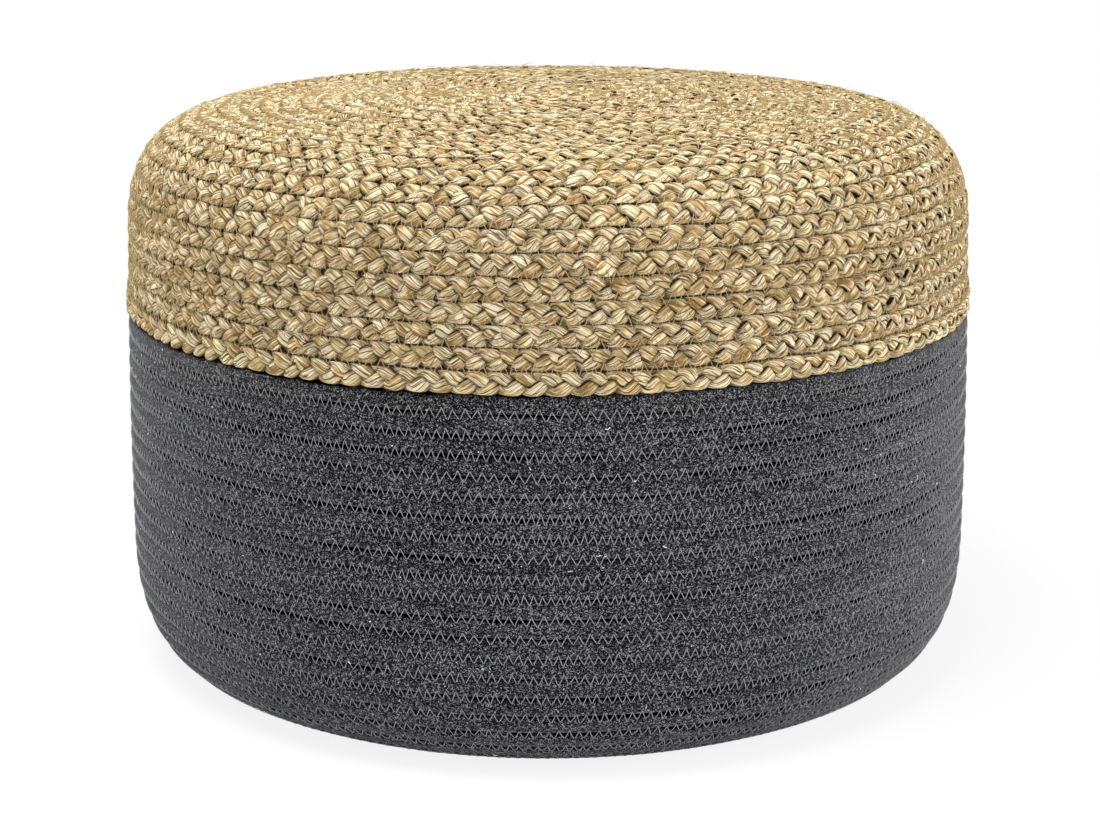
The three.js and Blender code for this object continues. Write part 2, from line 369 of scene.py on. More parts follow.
@dataclass(frozen=True)
class RopeFinish:
    """Heathered cotton rope: dark short fibres with paler ones among them."""

    slot: Slot = Slot.ROPE
    # The darkest fibres, and also the painted shade in the grooves between courses.
    dark: Triple = (0.002, 0.002, 0.003)
    middle: Triple = (0.012, 0.012, 0.0135)
    pale: Triple = (0.098, 0.098, 0.102)
    lint: Triple = (0.4, 0.4, 0.41)
    tone_stops: tuple[float, float, float, float] = (0.44, 0.5, 0.55, 0.63)
    grain_cells: float = 760.0
    speck_cells: float = 1500.0
    patch_cells: Triple = (14.0, 14.0, 90.0)
    grain_share: float = 0.32
    speck_share: float = 0.58
    patch_share: float = 0.05
    base_light: float = 0.044
    # Painted light: how much paler the rope gets towards the right, +X, and over what span.
    painted_right_light: float = 0.033
    painted_right_light_from: Range = (0.1, 0.26)
    sheen: float = 0.27
    sheen_tint: tuple[float, float, float, float] = (0.95, 0.96, 1.0, 1.0)
    relief_shares: Range = (0.7, 0.5)
    relief: float = 1.0 * MM

    def material(self) -> Material:
        """Builds the material. At the edges of each course it turns to a dark surface without sheen,
        painted shade in the grooves between the courses.
        """
        shader = Shader.named(self.slot.value)
        place = shader.place()
        grain = shader.noise(place, self.grain_cells, 1.0, 0.6, 1.0)
        specks = shader.noise(place, self.speck_cells, 1.0, 0.6, 1.0)
        patches = shader.stretched(place, self.patch_cells, 2.0)
        # Painted light: the rope is paler towards the right side, where more light falls.
        painted_right_light = shader.axis(place, "X").ramp(*self.painted_right_light_from) * self.painted_right_light
        heather = grain * self.grain_share + specks * self.speck_share + patches.centred(self.patch_share)
        heather = heather + painted_right_light + self.base_light
        tones = (self.dark, self.middle, self.pale, self.lint)
        grain_share, speck_share = self.relief_shares
        fibres = shader.node("ShaderNodeBsdfPrincipled", {}, {
            "Base Color": shader.ramped(heather, *zip(self.tone_stops, tones)),
            "Roughness": 1.0,
            "Specular IOR Level": 0.02,
            "Sheen Weight": self.sheen,
            "Sheen Roughness": 0.3,
            "Sheen Tint": self.sheen_tint,
            "Normal": shader.bump(grain * grain_share + specks * speck_share, self.relief),
        })
        # Painted shade in the grooves between courses: dark, with no sheen.
        between = shader.node("ShaderNodeBsdfPrincipled", {}, {
            "Base Color": self.dark,
            "Roughness": 1.0,
            "Specular IOR Level": 0.0,
        })
        mixed = shader.node("ShaderNodeMixShader", {}, {0: shader.held("groove_shade"), 1: fibres, 2: between})
        return shader.ended(mixed)


@dataclass(frozen=True)
class ThreadFinish:
    """Spun sewing thread, twisted from two plies."""

    name: str
    colour: Triple
    shade: Triple
    twist_cells: float = 1600.0
    shade_from: Range = (0.3, 0.7)
    relief: float = 0.1 * MM

    def material(self) -> Material:
        """Builds the material."""
        shader = Shader.named(self.name)
        twist = shader.noise(shader.place(), self.twist_cells)
        return shader.surface({
            "Base Color": shader.mix(twist.ramp(*self.shade_from), self.shade, self.colour),
            "Roughness": 0.7,
            "Specular IOR Level": 0.3,
            "Normal": shader.bump(twist, self.relief, 0.6),
        })


@dataclass(frozen=True)
class ClothFinish:
    """Unbleached plain-weave cotton."""

    slot: Slot = Slot.CLOTH
    warp: Triple = (0.66, 0.61, 0.5)
    weft: Triple = (0.56, 0.51, 0.4)
    # The colour of the holes between threads, painted shade there, and of the cloth's darker slubs.
    hole_shade_and_slub: Triple = (0.25, 0.22, 0.16)
    thread: float = 0.9 * MM
    slub_cells: Triple = (40.0, 900.0, 1.0)
    gap_from: Range = (0.15, 0.6)
    gap_cover: float = 0.6
    warp_from: Range = (0.3, 0.7)
    slub_from: Range = (0.55, 0.8)
    slub_cover: float = 0.3
    relief: float = 0.25 * MM

    def material(self) -> Material:
        """Builds the material. It reads the cut attribute, the place on the flat cloth."""
        shader = Shader.named(self.slot.value)
        cut = shader.held("cut", "Vector")
        across, along = ((shader.axis(cut, name) * (math.pi / self.thread)).sine() for name in "XY")
        weave = (across * along) * 0.5 + 0.5
        open_work = (across.size() + along.size()).ramp(*self.gap_from, 1.0, 0.0)
        slub = shader.stretched(cut, self.slub_cells, 2.0)
        colour = shader.mix(weave.ramp(*self.warp_from), self.weft, self.warp)
        # Painted shade in the open holes between the threads.
        colour = shader.mix(open_work * self.gap_cover, colour, self.hole_shade_and_slub)
        colour = shader.mix(slub.ramp(*self.slub_from) * self.slub_cover, colour, self.hole_shade_and_slub)
        return shader.surface({
            "Base Color": colour,
            "Roughness": 0.9,
            "Normal": shader.bump(weave, self.relief, 0.7),
        })


@dataclass(frozen=True)
class FoamFinish:
    """Cut foam with open cells."""

    slot: Slot = Slot.FOAM
    body: Triple = (0.74, 0.68, 0.5)
    # The colour of the open cells, painted shade in their hollows; the aged patches take it too.
    cell: Triple = (0.45, 0.38, 0.24)
    fine_cells: float = 900.0
    body_from: Range = (0.35, 0.6)
    aged_cells: float = 9.0
    aged_from: Range = (0.4, 0.7)
    aged_cover: float = 0.25
    relief: float = 0.4 * MM

    def material(self) -> Material:
        """Builds the material."""
        shader = Shader.named(self.slot.value)
        place = shader.place()
        cells = shader.noise(place, self.fine_cells, 3.0, 0.6)
        aged = shader.noise(place, self.aged_cells)
        # Painted shade in the hollows of the open cells, where the relief is lowest.
        colour = shader.mix(cells.ramp(*self.body_from), self.cell, self.body)
        colour = shader.mix(aged.ramp(*self.aged_from) * self.aged_cover, colour, self.cell)
        return shader.surface({
            "Base Color": colour,
            "Roughness": 0.95,
            "Normal": shader.bump(cells, self.relief, 0.8),
        })


# The turned outline and what is wound on it

def runs(points: Array) -> Array:
    """The length run along a line up to each of its points."""
    return np.concatenate([[0], np.cumsum(np.linalg.norm(np.diff(points, axis=0), axis=1))])


def outward(points: Array) -> Array:
    """The way outwards at each point of a line that runs up the outside."""
    along = np.gradient(points, axis=0)
    along /= np.linalg.norm(along, axis=1, keepdims=True)
    return np.stack([along[:, 1], -along[:, 0]], 1)


def section(around: int, crowding: float, power: float) -> tuple[Array, Array, Array]:
    """Shapes the section of a strand or a rope.

    Args:
        around: How many points it has.
        crowding: How far they are drawn together on the outer side.
        power: How square it is, from 2 for an ellipse.

    Returns:
        The angle of each point, and its reach sideways and outwards from -1 to 1.
    """
    share = np.arange(around) / around
    angle = FULL_TURN * share - math.pi / 2 + crowding * np.sin(FULL_TURN * share)
    side, top = (np.sign(way) * np.abs(way) ** (2 / power) for way in (np.cos(angle), np.sin(angle)))
    return angle, side, top


@dataclass
class Outline:
    """The outline of the outside, from the middle of the base to the middle of the top.

    It also holds the sizes that the rope, the braid and the bag share: how deep the rope and the
    braid are, and where the hem lies.
    """

    wall_radius_mm: float = 250.0
    foot_flare_mm: float = 4.0
    wall_swell_mm: float = 1.1
    shoulder_top_mm: float = 330.7
    crown_rise_mm: float = 5.8
    shoulder_width_mm: float = 79.0
    shoulder_drop_mm: float = 74.0
    shoulder_power: float = 2.7
    foot_width_mm: float = 53.0
    foot_rise_mm: float = 77.0
    foot_power: float = 2.6
    rope_depth_mm: float = 10.4
    braid_depth_mm: float = 6.4
    hem_bottom_mm: float = 213.0
    hem_width_mm: float = 12.3
    samples: int = 300

    @property
    def floor_radius_mm(self) -> float:
        """The radius of the flat base."""
        return self.wall_radius_mm + self.foot_flare_mm - self.foot_width_mm

    @property
    def hem_top_mm(self) -> float:
        """The height at which the hem meets the cap."""
        return self.hem_bottom_mm + self.hem_width_mm

    def points(self) -> Array:
        """The outline's radius and height in millimetres, as rows."""
        count = self.samples
        share = np.linspace(0, 1, count, endpoint=False)
        turn = share * math.pi / 2
        flat = np.stack([share * self.floor_radius_mm, 0 * share], 1)
        foot = np.stack([
            self.floor_radius_mm + self.foot_width_mm * np.sin(turn) ** (2 / self.foot_power),
            self.foot_rise_mm * (1 - np.cos(turn) ** (2 / self.foot_power)),
        ], 1)
        wall_top = self.shoulder_top_mm - self.shoulder_drop_mm
        wall_radius = self.wall_radius_mm + self.foot_flare_mm * (1 - share)
        wall = np.stack([
            wall_radius + self.wall_swell_mm * 4 * share * (1 - share),
            self.foot_rise_mm + share * (wall_top - self.foot_rise_mm),
        ], 1)
        crown_radius = self.wall_radius_mm - self.shoulder_width_mm
        shoulder = np.stack([
            crown_radius + self.shoulder_width_mm * np.cos(turn) ** (2 / self.shoulder_power),
            wall_top + self.shoulder_drop_mm * np.sin(turn) ** (2 / self.shoulder_power),
        ], 1)
        to_middle = np.linspace(0, 1, count)
        crown = np.stack([
            crown_radius * (1 - to_middle),
            self.shoulder_top_mm + self.crown_rise_mm * (1 - (1 - to_middle) ** 2),
        ], 1)
        return np.concatenate([flat, foot, wall, shoulder, crown])


class Track:
    """The outline moved inwards by a depth, read by the length run along it."""

    step_mm: ClassVar[float] = 0.5
    wall_share: ClassVar[float] = 0.8

    def __init__(self, outline: Outline, depth_mm: float, from_top: bool = False) -> None:
        """Resamples the moved outline evenly.

        Args:
            outline: The outline of the outside.
            depth_mm: How far inwards the track lies.
            from_top: True to count lengths from the middle of the top.
        """
        outer = self._even(outline.points())
        normal = outward(outer)
        moved = outer - normal * depth_mm
        lengths = runs(moved)
        if from_top:
            moved, normal, lengths = moved[::-1], normal[::-1], lengths[-1] - lengths[::-1]
        self.points = moved
        self.normals = normal
        self.lengths = lengths

    def _even(self, points: Array) -> Array:
        """Spaces points evenly along their line."""
        run = runs(points)
        wanted = np.arange(0, run[-1], self.step_mm)
        return np.stack([np.interp(wanted, run, points[:, k]) for k in range(2)], 1)

    def length_at_height(self, height_mm: float) -> float:
        """The length at which the track passes a height on the wall."""
        wide = self.points[:, 0] > self.wall_share * self.points[:, 0].max()
        order = np.argsort(self.points[wide, 1])
        return float(np.interp(height_mm, self.points[wide, 1][order], self.lengths[wide][order]))

    def level(self, length_mm: Array) -> Array:
        """How level the surface lies, from 0 on the wall to 1 on the top."""
        return np.clip(np.interp(length_mm, self.lengths, self.normals[:, 1]), 0, 1)

    def place(self, length_mm: Array, angle: Array, out_mm: Array) -> Array:
        """Places points on the turned surface.

        Args:
            length_mm: The length along the track.
            angle: The angle round the axis.
            out_mm: The distance outwards from the track.

        Returns:
            The points in metres, with x, y and z in the last axis.
        """
        reach, up = (
            np.interp(length_mm, self.lengths, self.points[:, axis])
            + np.interp(length_mm, self.lengths, self.normals[:, axis]) * out_mm
            for axis in range(2)
        )
        return np.stack([reach * np.cos(angle), reach * np.sin(angle), up], -1) * MM


def smooth_share(value: Array) -> Array:
    """Eases from 0 to 1 with level ends."""
    clipped = np.clip(value, 0, 1)
    return clipped * clipped * (3 - 2 * clipped)


def wander(at: Array, cell: float, seed: int) -> Array:
    """Smooth random values from -1 to 1 along a line.

    Args:
        at: The places along the line.
        cell: The distance between random values, in the unit of the places.
        seed: What the random values are drawn from.

    Returns:
        A value for each place.
    """
    count = int(np.max(at) / cell) + 3
    values = np.random.default_rng(seed).uniform(-1, 1, count)
    where = np.clip(np.asarray(at, float) / cell, 0, count - 1.001)
    low = where.astype(int)
    share = smooth_share(where - low)
    return values[low] * (1 - share) + values[low + 1] * share


@dataclass(frozen=True)
class Drift:
    """A smooth random change along a line, from minus its size to its size."""

    size: float
    cell: float
    salt: int = 0

    def at(self, run: Array, seed: int) -> Array:
        """The change at some places along the line, in the unit of the cell."""
        return self.size * wander(run, self.cell, seed + self.salt)

    def factor(self, run: Array, seed: int) -> Array:
        """The change as a factor about 1."""
        return 1 + self.at(run, seed)


def pressed(value: Array, limit: Array, start_share: float) -> Array:
    """Presses values softly together below a limit on both sides of 0.

    Args:
        value: The values.
        limit: What no value passes.
        start_share: The share of the limit from which they are pressed.

    Returns:
        The pressed values.
    """
    free = limit * start_share
    room = limit - free
    size = np.abs(value)
    return np.sign(value) * np.where(size < free, size, free + room * np.tanh((size - free) / room))


@dataclass
class Winding:
    """How a course winds round the axis, turn after turn, from the back.

    The two numbers of level say how far the rise of a turn is gathered into a step at the back, from
    0 for an even rise to 1, in the first turns and in the last ones.
    """

    track: Track
    direction: Way
    start_mm: float
    pitch_mm: float
    turns: float
    level: Range
    levelling_turns: float
    rim_mm: float
    step_share: float = 0.16
    tail_turns: float = 0.1
    per_turn: int = 720
    waver_mm: float = 0.35
    waver_turns: float = 0.21
    ripple_mm: float = 0.0
    ripple_turns: float = 0.0055
    ripple_from_turns: float = 14.0
    seed: int = 3
    table_turn: Array = field(init=False)
    table_run: Array = field(init=False)
    length: float = field(init=False)

    def __post_init__(self) -> None:
        """Tabulates the middle line of the course by its length."""
        last = self.turns + self.tail_turns
        self.table_turn = np.linspace(0, last, int(last * self.per_turn) + 1)
        middle = (self.edge(self.table_turn) + self.edge(self.table_turn + 1)) / 2
        angle = self.angle(self.table_turn)
        self.table_run = runs(self.track.place(middle, angle, 0 * angle) / MM)
        self.length = float(self.table_run[-1])

    def rise(self, turn: Array, level: Array) -> Array:
        """How many pitches the coil has moved on, level round the front and stepping at the back."""
        whole = np.floor(turn)
        part = turn - whole
        from_step = np.minimum(part, 1 - part) / self.step_share
        half = np.where(from_step < 1, (1 - (1 - np.minimum(from_step, 1)) ** 2) / 2, 0.5)
        stepped = np.where(part < 0.5, half, 1 - half)
        return whole + part * (1 - level) + stepped * level

    def edge(self, turn: Array) -> Array:
        """The length along the track of the near edge of the course."""
        last = self.turns - self.levelling_turns
        share = smooth_share((turn - 1 - last) / max(self.levelling_turns - 1, TINY))
        level = self.level[0] * (1 - share) + self.level[1] * share
        free = self.start_mm + self.pitch_mm * self.rise(turn, level)
        inside = np.clip(turn / 2, 0, 1) * np.clip((self.rim_mm - free) / (2 * self.pitch_mm), 0, 1)
        since = np.maximum(turn, 0)
        free = free + self.waver_mm * inside * wander(since, self.waver_turns, self.seed)
        fine = wander(since, self.ripple_turns, self.seed + 1)
        fine = fine * np.clip(turn / self.ripple_from_turns, 0, 1)
        free = free + self.ripple_mm * inside * fine
        return np.minimum(free, self.rim_mm)

    def angle(self, turn: Array) -> Array:
        """The angle round the axis after some turns."""
        return BACK_ANGLE + self.direction * FULL_TURN * turn

    def turn_at(self, run_mm: Array) -> Array:
        """The turns at a length along the course."""
        return np.interp(run_mm, self.table_run, self.table_turn)

    def run_at(self, turn: float) -> float:
        """The length along the course after some turns."""
        return float(np.interp(turn, self.table_turn, self.table_run))

    def level_at(self, run_mm: Array) -> Array:
        """How level the course lies, from 0 on the wall to 1 on the top."""
        return self.track.level(self.edge(self.turn_at(run_mm) + 0.5))

    def place(self, run_mm: Array, across: Array, out_mm: Array) -> Array:
        """Places points on the course.

        Args:
            run_mm: The length along the course.
            across: The place across it, from -1 at its near edge to 1 at its far edge.
            out_mm: The distance outwards from the track.

        Returns:
            The points in metres.
        """
        turn = self.turn_at(run_mm)
        low, high = self.edge(turn), self.edge(turn + 1)
        length = (low + high) / 2 + across * (high - low) / 2
        return self.track.place(length, self.angle(turn), out_mm)


@dataclass
class LevelWinding(Winding):
    """One level course, whose two ends meet at the back."""

    level: Range = (0.0, 0.0)
    levelling_turns: float = 1.0
    rim_mm: float = 0.0
    tail_turns: float = -0.0001

    def edge(self, turn: Array) -> Array:
        """The near edge of the course, and its far edge a turn further on."""
        return self.start_mm + self.pitch_mm * (np.asarray(turn) >= 1)


def linked(name: str, data: ID) -> Object:
    """Makes an object of a mesh, a lamp or a camera, and puts it in the scene."""
    made = bpy.data.objects.new(name, data)
    bpy.context.scene.collection.objects.link(made)
    return made


def skin(
    name: str,
    rings: Array,
    material: Material,
    values: Optional[Mapping[str, Array]] = None,
    rows_of: int = 0,
) -> Object:
    """Skins closed rings into tubes with closed ends.

    Args:
        name: The piece's name.
        rings: Points by tube, step, place round the tube, and axis.
        material: The finish.
        values: What each point holds, by name: numbers, or vectors.
        rows_of: How many steps make one row of the map for baking, or 0 for one row a tube.

    Returns:
        The new object.
    """
    tubes, steps, around, _ = rings.shape
    base = np.arange(tubes * steps * around).reshape(tubes, steps, around)
    here, there = base[:, :-1], base[:, 1:]
    quads = np.stack([here, np.roll(here, -1, 2), np.roll(there, -1, 2), there], -1).reshape(-1, 4)
    ends = np.concatenate([base[:, 0, ::-1], base[:, -1]])
    mesh = bpy.data.meshes.new(name)
    loops = np.concatenate([quads.ravel(), ends.ravel()])
    sizes = np.concatenate([np.full(len(quads), 4), np.full(len(ends), around)])
    mesh.vertices.add(rings.size // 3)
    mesh.vertices.foreach_set("co", rings.astype(np.float32).ravel())
    mesh.loops.add(len(loops))
    mesh.loops.foreach_set("vertex_index", loops.astype(np.int32))
    mesh.polygons.add(len(sizes))
    starts = np.concatenate([[0], np.cumsum(sizes)[:-1]])
    mesh.polygons.foreach_set("loop_start", starts.astype(np.int32))
    mesh.update(calc_edges=True)
    mesh.polygons.foreach_set("use_smooth", np.ones(len(sizes), bool))
    for key, held in (values or {}).items():
        vector = held.ndim == 4
        layer = mesh.attributes.new(key, "FLOAT_VECTOR" if vector else "FLOAT", "POINT")
        layer.data.foreach_set("vector" if vector else "value", held.astype(np.float32).ravel())
    map_strips(mesh, tubes, steps, around, rows_of or steps - 1)
    mesh.materials.append(material)
    return linked(name, mesh)


def map_strips(mesh: Mesh, tubes: int, steps: int, around: int, columns: int) -> None:
    """Lays the tubes out as strips that fill a square, for baking.

    Args:
        mesh: The mesh of the tubes, with the faces of their ends last.
        tubes: How many tubes there are.
        steps: How many rings each has.
        around: How many points each ring has.
        columns: How many steps make one strip.
    """
    cell = np.arange(tubes * (steps - 1))
    rows = int(np.ceil((len(cell) + 1) / columns))
    column = (cell % columns)[:, None, None]
    row = (cell // columns)[:, None, None]
    place = np.arange(around)[None, :, None]
    corner_u = np.array([0, 0, 1, 1])[None, None, :]
    corner_v = np.array([0, 1, 1, 0])[None, None, :]
    margin = 0.06
    end_size = 0.3
    u = (column + corner_u) / columns + 0 * place
    v = (row + margin + (1 - 2 * margin) * (place + corner_v) / around) / rows
    wall = np.stack([u, v], -1).reshape(-1, 2)
    turn = FULL_TURN * np.arange(around) / around
    spot = end_size * np.stack([np.cos(turn) / columns, np.sin(turn) / rows], 1)
    middle = np.array([(columns - 0.5) / columns, (rows - 0.5) / rows])
    ends = np.tile(spot + middle, (2 * tubes, 1))
    layer = mesh.uv_layers.new(name=BAKE_MAP)
    layer.data.foreach_set("uv", np.concatenate([wall, ends]).astype(np.float32).ravel())


def settle(piece: Object, slot: Slot, *nodes: str) -> None:
    """Puts a piece on the body, and hides the solids that it stands for."""
    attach(piece, BODY)
    if nodes:
        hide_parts(*nodes)
    log.info("%s: %d faces", piece.name, len(piece.data.polygons))


# The straw cap

def squared(
    run: Array, across: Array, up: Array, side_reach: Array, top_reach: Array,
) -> tuple[Array, Array, Array]:
    """Turns rings square to the line that they stand on.

    Args:
        run: The length along the course of each point of the line.
        across: How far across the course it lies.
        up: How far out it lies.
        side_reach: How far each point of each ring lies sideways of the line.
        top_reach: How far it lies above the line.

    Returns:
        The length along the course, the place across it and the distance out of every ring's points.
    """
    d_run = np.gradient(run)
    slope = (np.gradient(across) / d_run)[:, None]
    climb = (np.gradient(up) / d_run)[:, None]
    flat = np.sqrt(1 + slope ** 2)
    total = np.sqrt(1 + slope ** 2 + climb ** 2)
    run_at = run[:, None] - slope / flat * side_reach - climb / total * top_reach
    across_at = across[:, None] + 1 / flat * side_reach - climb * slope / total * top_reach
    return run_at, across_at, up[:, None] + flat / total * top_reach


@dataclass
class Braid:
    """A flat braid of three straw strands."""

    period_mm: float = 34.6
    sway_share: float = 0.68
    straight: float = 0.15
    lift_mm: float = 1.4
    lift_sharpness: float = 1.4
    edge_lead: float = 0.55
    half_width_mm: float = 4.55
    width_shares: Range = (0.9, 0.24)
    half_depth_mm: float = 1.5
    depth_shares: Range = (0.72, 0.33)
    section_power: float = 2.4
    around: int = 20
    steps_per_period: int = 20
    crowding: float = 0.45
    ridge_mm: float = 0.38
    ridge_shares: Triple = (0.6, 0.4, 0.5)
    ridge_waves: tuple[int, int] = (2, 7)
    press_from: float = 0.72
    joint_mm: float = 0.04
    seam_dip_mm: float = 0.6
    seam_power: int = 4
    ragged_mm: float = 0.5
    ragged_room: float = 0.05
    eye_growth: float = 0.6
    eye_reach_mm: float = 30.0
    top_flatness: float = 0.2
    # Where the painted shade falls: below a height on the strand and on its flanks, less on level courses
    # and near the seams.
    sunk_from: Range = (0.6, 0.18)
    sunk_reach: float = 0.85
    flank_from: Range = (0.64, 0.23)
    level_share: float = 0.02
    seam_share: float = 0.15
    seed: int = 11
    seed_gap: int = 101
    seed_step: float = 0.37
    stretch_mm: Drift = Drift(1.5, 45.0)
    sway_drift: Drift = Drift(0.14, 23.0, 1)
    lift_drift: Drift = Drift(0.36, 17.0, 2)
    width_drift: Drift = Drift(0.25, 14.0, 3)
    depth_drift: Drift = Drift(0.12, 19.0, 4)
    lean: Drift = Drift(0.2, 12.0, 5)
    tone_drift: Drift = Drift(0.5, 37.0, 7)
    coarse_drift: Drift = Drift(2.5, 25.0, 8)
    fine_drift: Drift = Drift(2.0, 16.0, 9)
    swell: Drift = Drift(1.0, 6.0, 10)
    ragged: Drift = Drift(1.0, 9.0, 11)

    def strand(
        self, winding: Winding, number: int, start_mm: float, end_mm: float,
    ) -> tuple[Array, dict[str, Array]]:
        """Shapes a stretch of one strand.

        Args:
            winding: The course that the braid follows.
            number: Which of the three strands it is, from 0.
            start_mm: Where the stretch starts along the course.
            end_mm: Where it ends.

        Returns:
            The rings and the values that their points hold.
        """
        count = max(4, int((end_mm - start_mm) / self.period_mm * self.steps_per_period))
        run = np.linspace(start_mm, end_mm, count)
        seed = self.seed + self.seed_gap * number
        from_end = np.minimum(run, winding.length - run)
        stretch = self.stretch_mm.at(run, seed) * np.clip(from_end / self.period_mm, 0, 1)
        phase = FULL_TURN * (winding.direction * (run + stretch) / self.period_mm + number / 3)
        return self._rings(winding, run, phase, seed)

    def _rings(
        self, winding: Winding, run: Array, phase: Array, seed: int,
    ) -> tuple[Array, dict[str, Array]]:
        """Shapes the rings round a strand's middle line."""
        half_course = winding.pitch_mm / 2
        sway = half_course * self.sway_share * self.sway_drift.factor(run, seed)
        across = sway * (np.sin(phase) - self.straight * np.sin(3 * phase))
        lifted = self._lifted(phase)
        up = self.lift_mm * lifted * self.lift_drift.factor(run, seed)
        over = np.clip(lifted, 0, 1)
        grown = 1 + self.eye_growth * np.clip(1 - run / self.eye_reach_mm, 0, 1)
        least, more = self.width_shares
        width = self.half_width_mm * (least + more * over) * self.width_drift.factor(run, seed) * grown
        least, more = self.depth_shares
        depth = self.half_depth_mm * (least + more * over) * self.depth_drift.factor(run, seed)
        angle, side, top = section(self.around, self.crowding, self.section_power)
        ridge = self._ridges(run, angle, seed)
        side_reach = width[:, None] * side[None]
        top_reach = depth[:, None] * top[None] + ridge * np.clip(top[None], 0, 1)
        top_reach = top_reach + self.lean.at(run, seed)[:, None] * side_reach
        run_at, across_at, out_at = squared(run, across, up, side_reach, top_reach)
        ragged = self.ragged_mm * (self.ragged.at(run, seed) + self.ragged_room)[:, None]
        room = (half_course - self.joint_mm + ragged) * np.where(across_at < 0, grown[:, None], 1.0)
        across_at = pressed(across_at, room, self.press_from) / half_course
        out_at = out_at - self.seam_dip_mm * across_at ** self.seam_power
        level = winding.level_at(run)[:, None]
        # How far each point lies in shade under the other strands, painted into the colour.
        painted_shade = self._painted_shade(out_at, angle, level, across_at)
        out_at = out_at * (1 - self.top_flatness * level)
        rings = winding.place(np.clip(run_at, 0, winding.length), across_at, out_at)
        tone = self._tone(run, phase, seed)
        values = {
            "fibre": self._fibre(run, angle, seed)[None],
            "tone": np.broadcast_to(tone[:, None], rings.shape[:2])[None],
            "painted_shade": painted_shade[None],
        }
        return rings[None], values

    def _lifted(self, phase: Array) -> Array:
        """How far a strand is over the others, from -1 for under them to 1."""
        wave = -np.sin(2 * phase + self.edge_lead)
        lifted = np.tanh(self.lift_sharpness * wave) / math.tanh(self.lift_sharpness)
        return np.where(lifted < 0, lifted * np.cos(phase) ** 2, lifted)

    def _fibre(self, run: Array, angle: Array, seed: int) -> Array:
        """The place of each point on its strand: along it and round it in metres, and its own number."""
        shape = (len(run), len(angle))
        girth = FULL_TURN * (self.half_width_mm + self.half_depth_mm) / 2 * MM
        return np.stack([
            np.broadcast_to(run[:, None] * MM, shape),
            np.broadcast_to(angle[None] / FULL_TURN * girth, shape),
            np.full(shape, seed * self.seed_step),
        ], -1)

    def _tone(self, run: Array, phase: Array, seed: int) -> Array:
        """How pale a strand is at each step: half of it by the lobe, and half by a slow drift."""
        lobe = np.floor(2 * phase / FULL_TURN + 0.25).astype(int)
        lobe = lobe - lobe.min()
        draws = np.random.default_rng(seed + 6).uniform(0, 1, lobe.max() + 1)
        return 0.5 * draws[lobe] + 0.5 * (0.5 + self.tone_drift.at(run, seed))

    def _ridges(self, run: Array, angle: Array, seed: int) -> Array:
        """The relief of the blades on a strand, in millimetres."""
        coarse_waves, fine_waves = self.ridge_waves
        drift = self.coarse_drift.at(run, seed)[:, None]
        coarse = 2 * np.abs(np.sin(coarse_waves * angle[None] + drift)) - 1
        fine = np.cos(fine_waves * angle[None] + self.fine_drift.at(run, seed)[:, None])
        swell = self.swell.at(run, seed)[:, None]
        coarse_share, fine_share, swell_share = self.ridge_shares
        return self.ridge_mm * (coarse_share * coarse + fine_share * fine + swell_share * swell)

    def _painted_shade(self, out_mm: Array, angle: Array, level: Array, across: Array) -> Array:
        """Painted shade: how hidden a point is in the braid, from 0 on top to 1, darker where the strand
        dips under the others and on its flanks, a little lighter on level courses and near the seams.
        """
        high = self.lift_mm + self.half_depth_mm
        start, more = self.sunk_from
        sunk = smooth_share((high * (start + more * level) - out_mm) / (high * self.sunk_reach))
        start, reach = self.flank_from
        flank = smooth_share((np.abs(np.cos(angle)) - start) / reach)[None]
        seam = self.seam_share * across ** self.seam_power
        return np.clip(sunk + flank, 0, 1) * (1 - self.level_share * level) * (1 - seam)


def stretches(length: float, triangles: float) -> list[tuple[int, float, float]]:
    """Cuts a length into equal stretches, as many as the size of one piece asks for.

    Args:
        length: The whole length.
        triangles: How many triangles the whole would have.

    Returns:
        The number of each stretch from 1, its start and its end.
    """
    cuts = np.linspace(0, length, math.ceil(triangles / MOST_TRIANGLES) + 1)
    return [(k, float(cuts[k - 1]), float(cuts[k])) for k in range(1, len(cuts))]


@dataclass
class StrawCap:
    """The coiled braid cap, from the middle of the top to the hem."""

    outline: Outline
    turns: int = 27
    eye_mm: float = 0.2
    level: Range = (0.15, 0.9)
    levelling_turns: float = 4.0
    ripple_mm: float = 0.55
    map_columns: int = 220
    braid: Braid = field(default_factory=Braid)
    winding: Winding = field(init=False)

    def __post_init__(self) -> None:
        """Works out how the cap winds."""
        track = Track(self.outline, self.outline.braid_depth_mm / 2, from_top=True)
        rim = track.length_at_height(self.outline.hem_top_mm)
        pitch = (rim - self.eye_mm) / self.turns
        self.winding = Winding(
            track,
            direction=Way.CLOCKWISE,
            start_mm=self.eye_mm - pitch / 2,
            pitch_mm=pitch,
            turns=self.turns,
            level=self.level,
            levelling_turns=self.levelling_turns,
            rim_mm=rim,
            ripple_mm=self.ripple_mm,
        )

    def build(self, straw: StrawFinish, thread: ThreadFinish) -> None:
        """Builds every strand of the cap, and the thread that sews its courses."""
        material = straw.material()
        whole = self.winding.length
        triangles = whole / self.braid.period_mm * self.braid.steps_per_period * self.braid.around * 2
        for number in range(3):
            for part, start, end in stretches(whole, triangles):
                rings, values = self.braid.strand(self.winding, number, start, end)
                piece = skin(f"cap_strand_{number + 1}_{part}", rings, material, values, self.map_columns)
                settle(piece, Slot.STRAW, "braid_cap")
        yarn = thread.material()
        CAP_ZIGZAG.build(self.winding, 1.0, self.turns, yarn, Slot.STRAW)
        HEM_ZIGZAG.build(self.winding, self.turns, self.turns + 1, yarn, Slot.HEM)


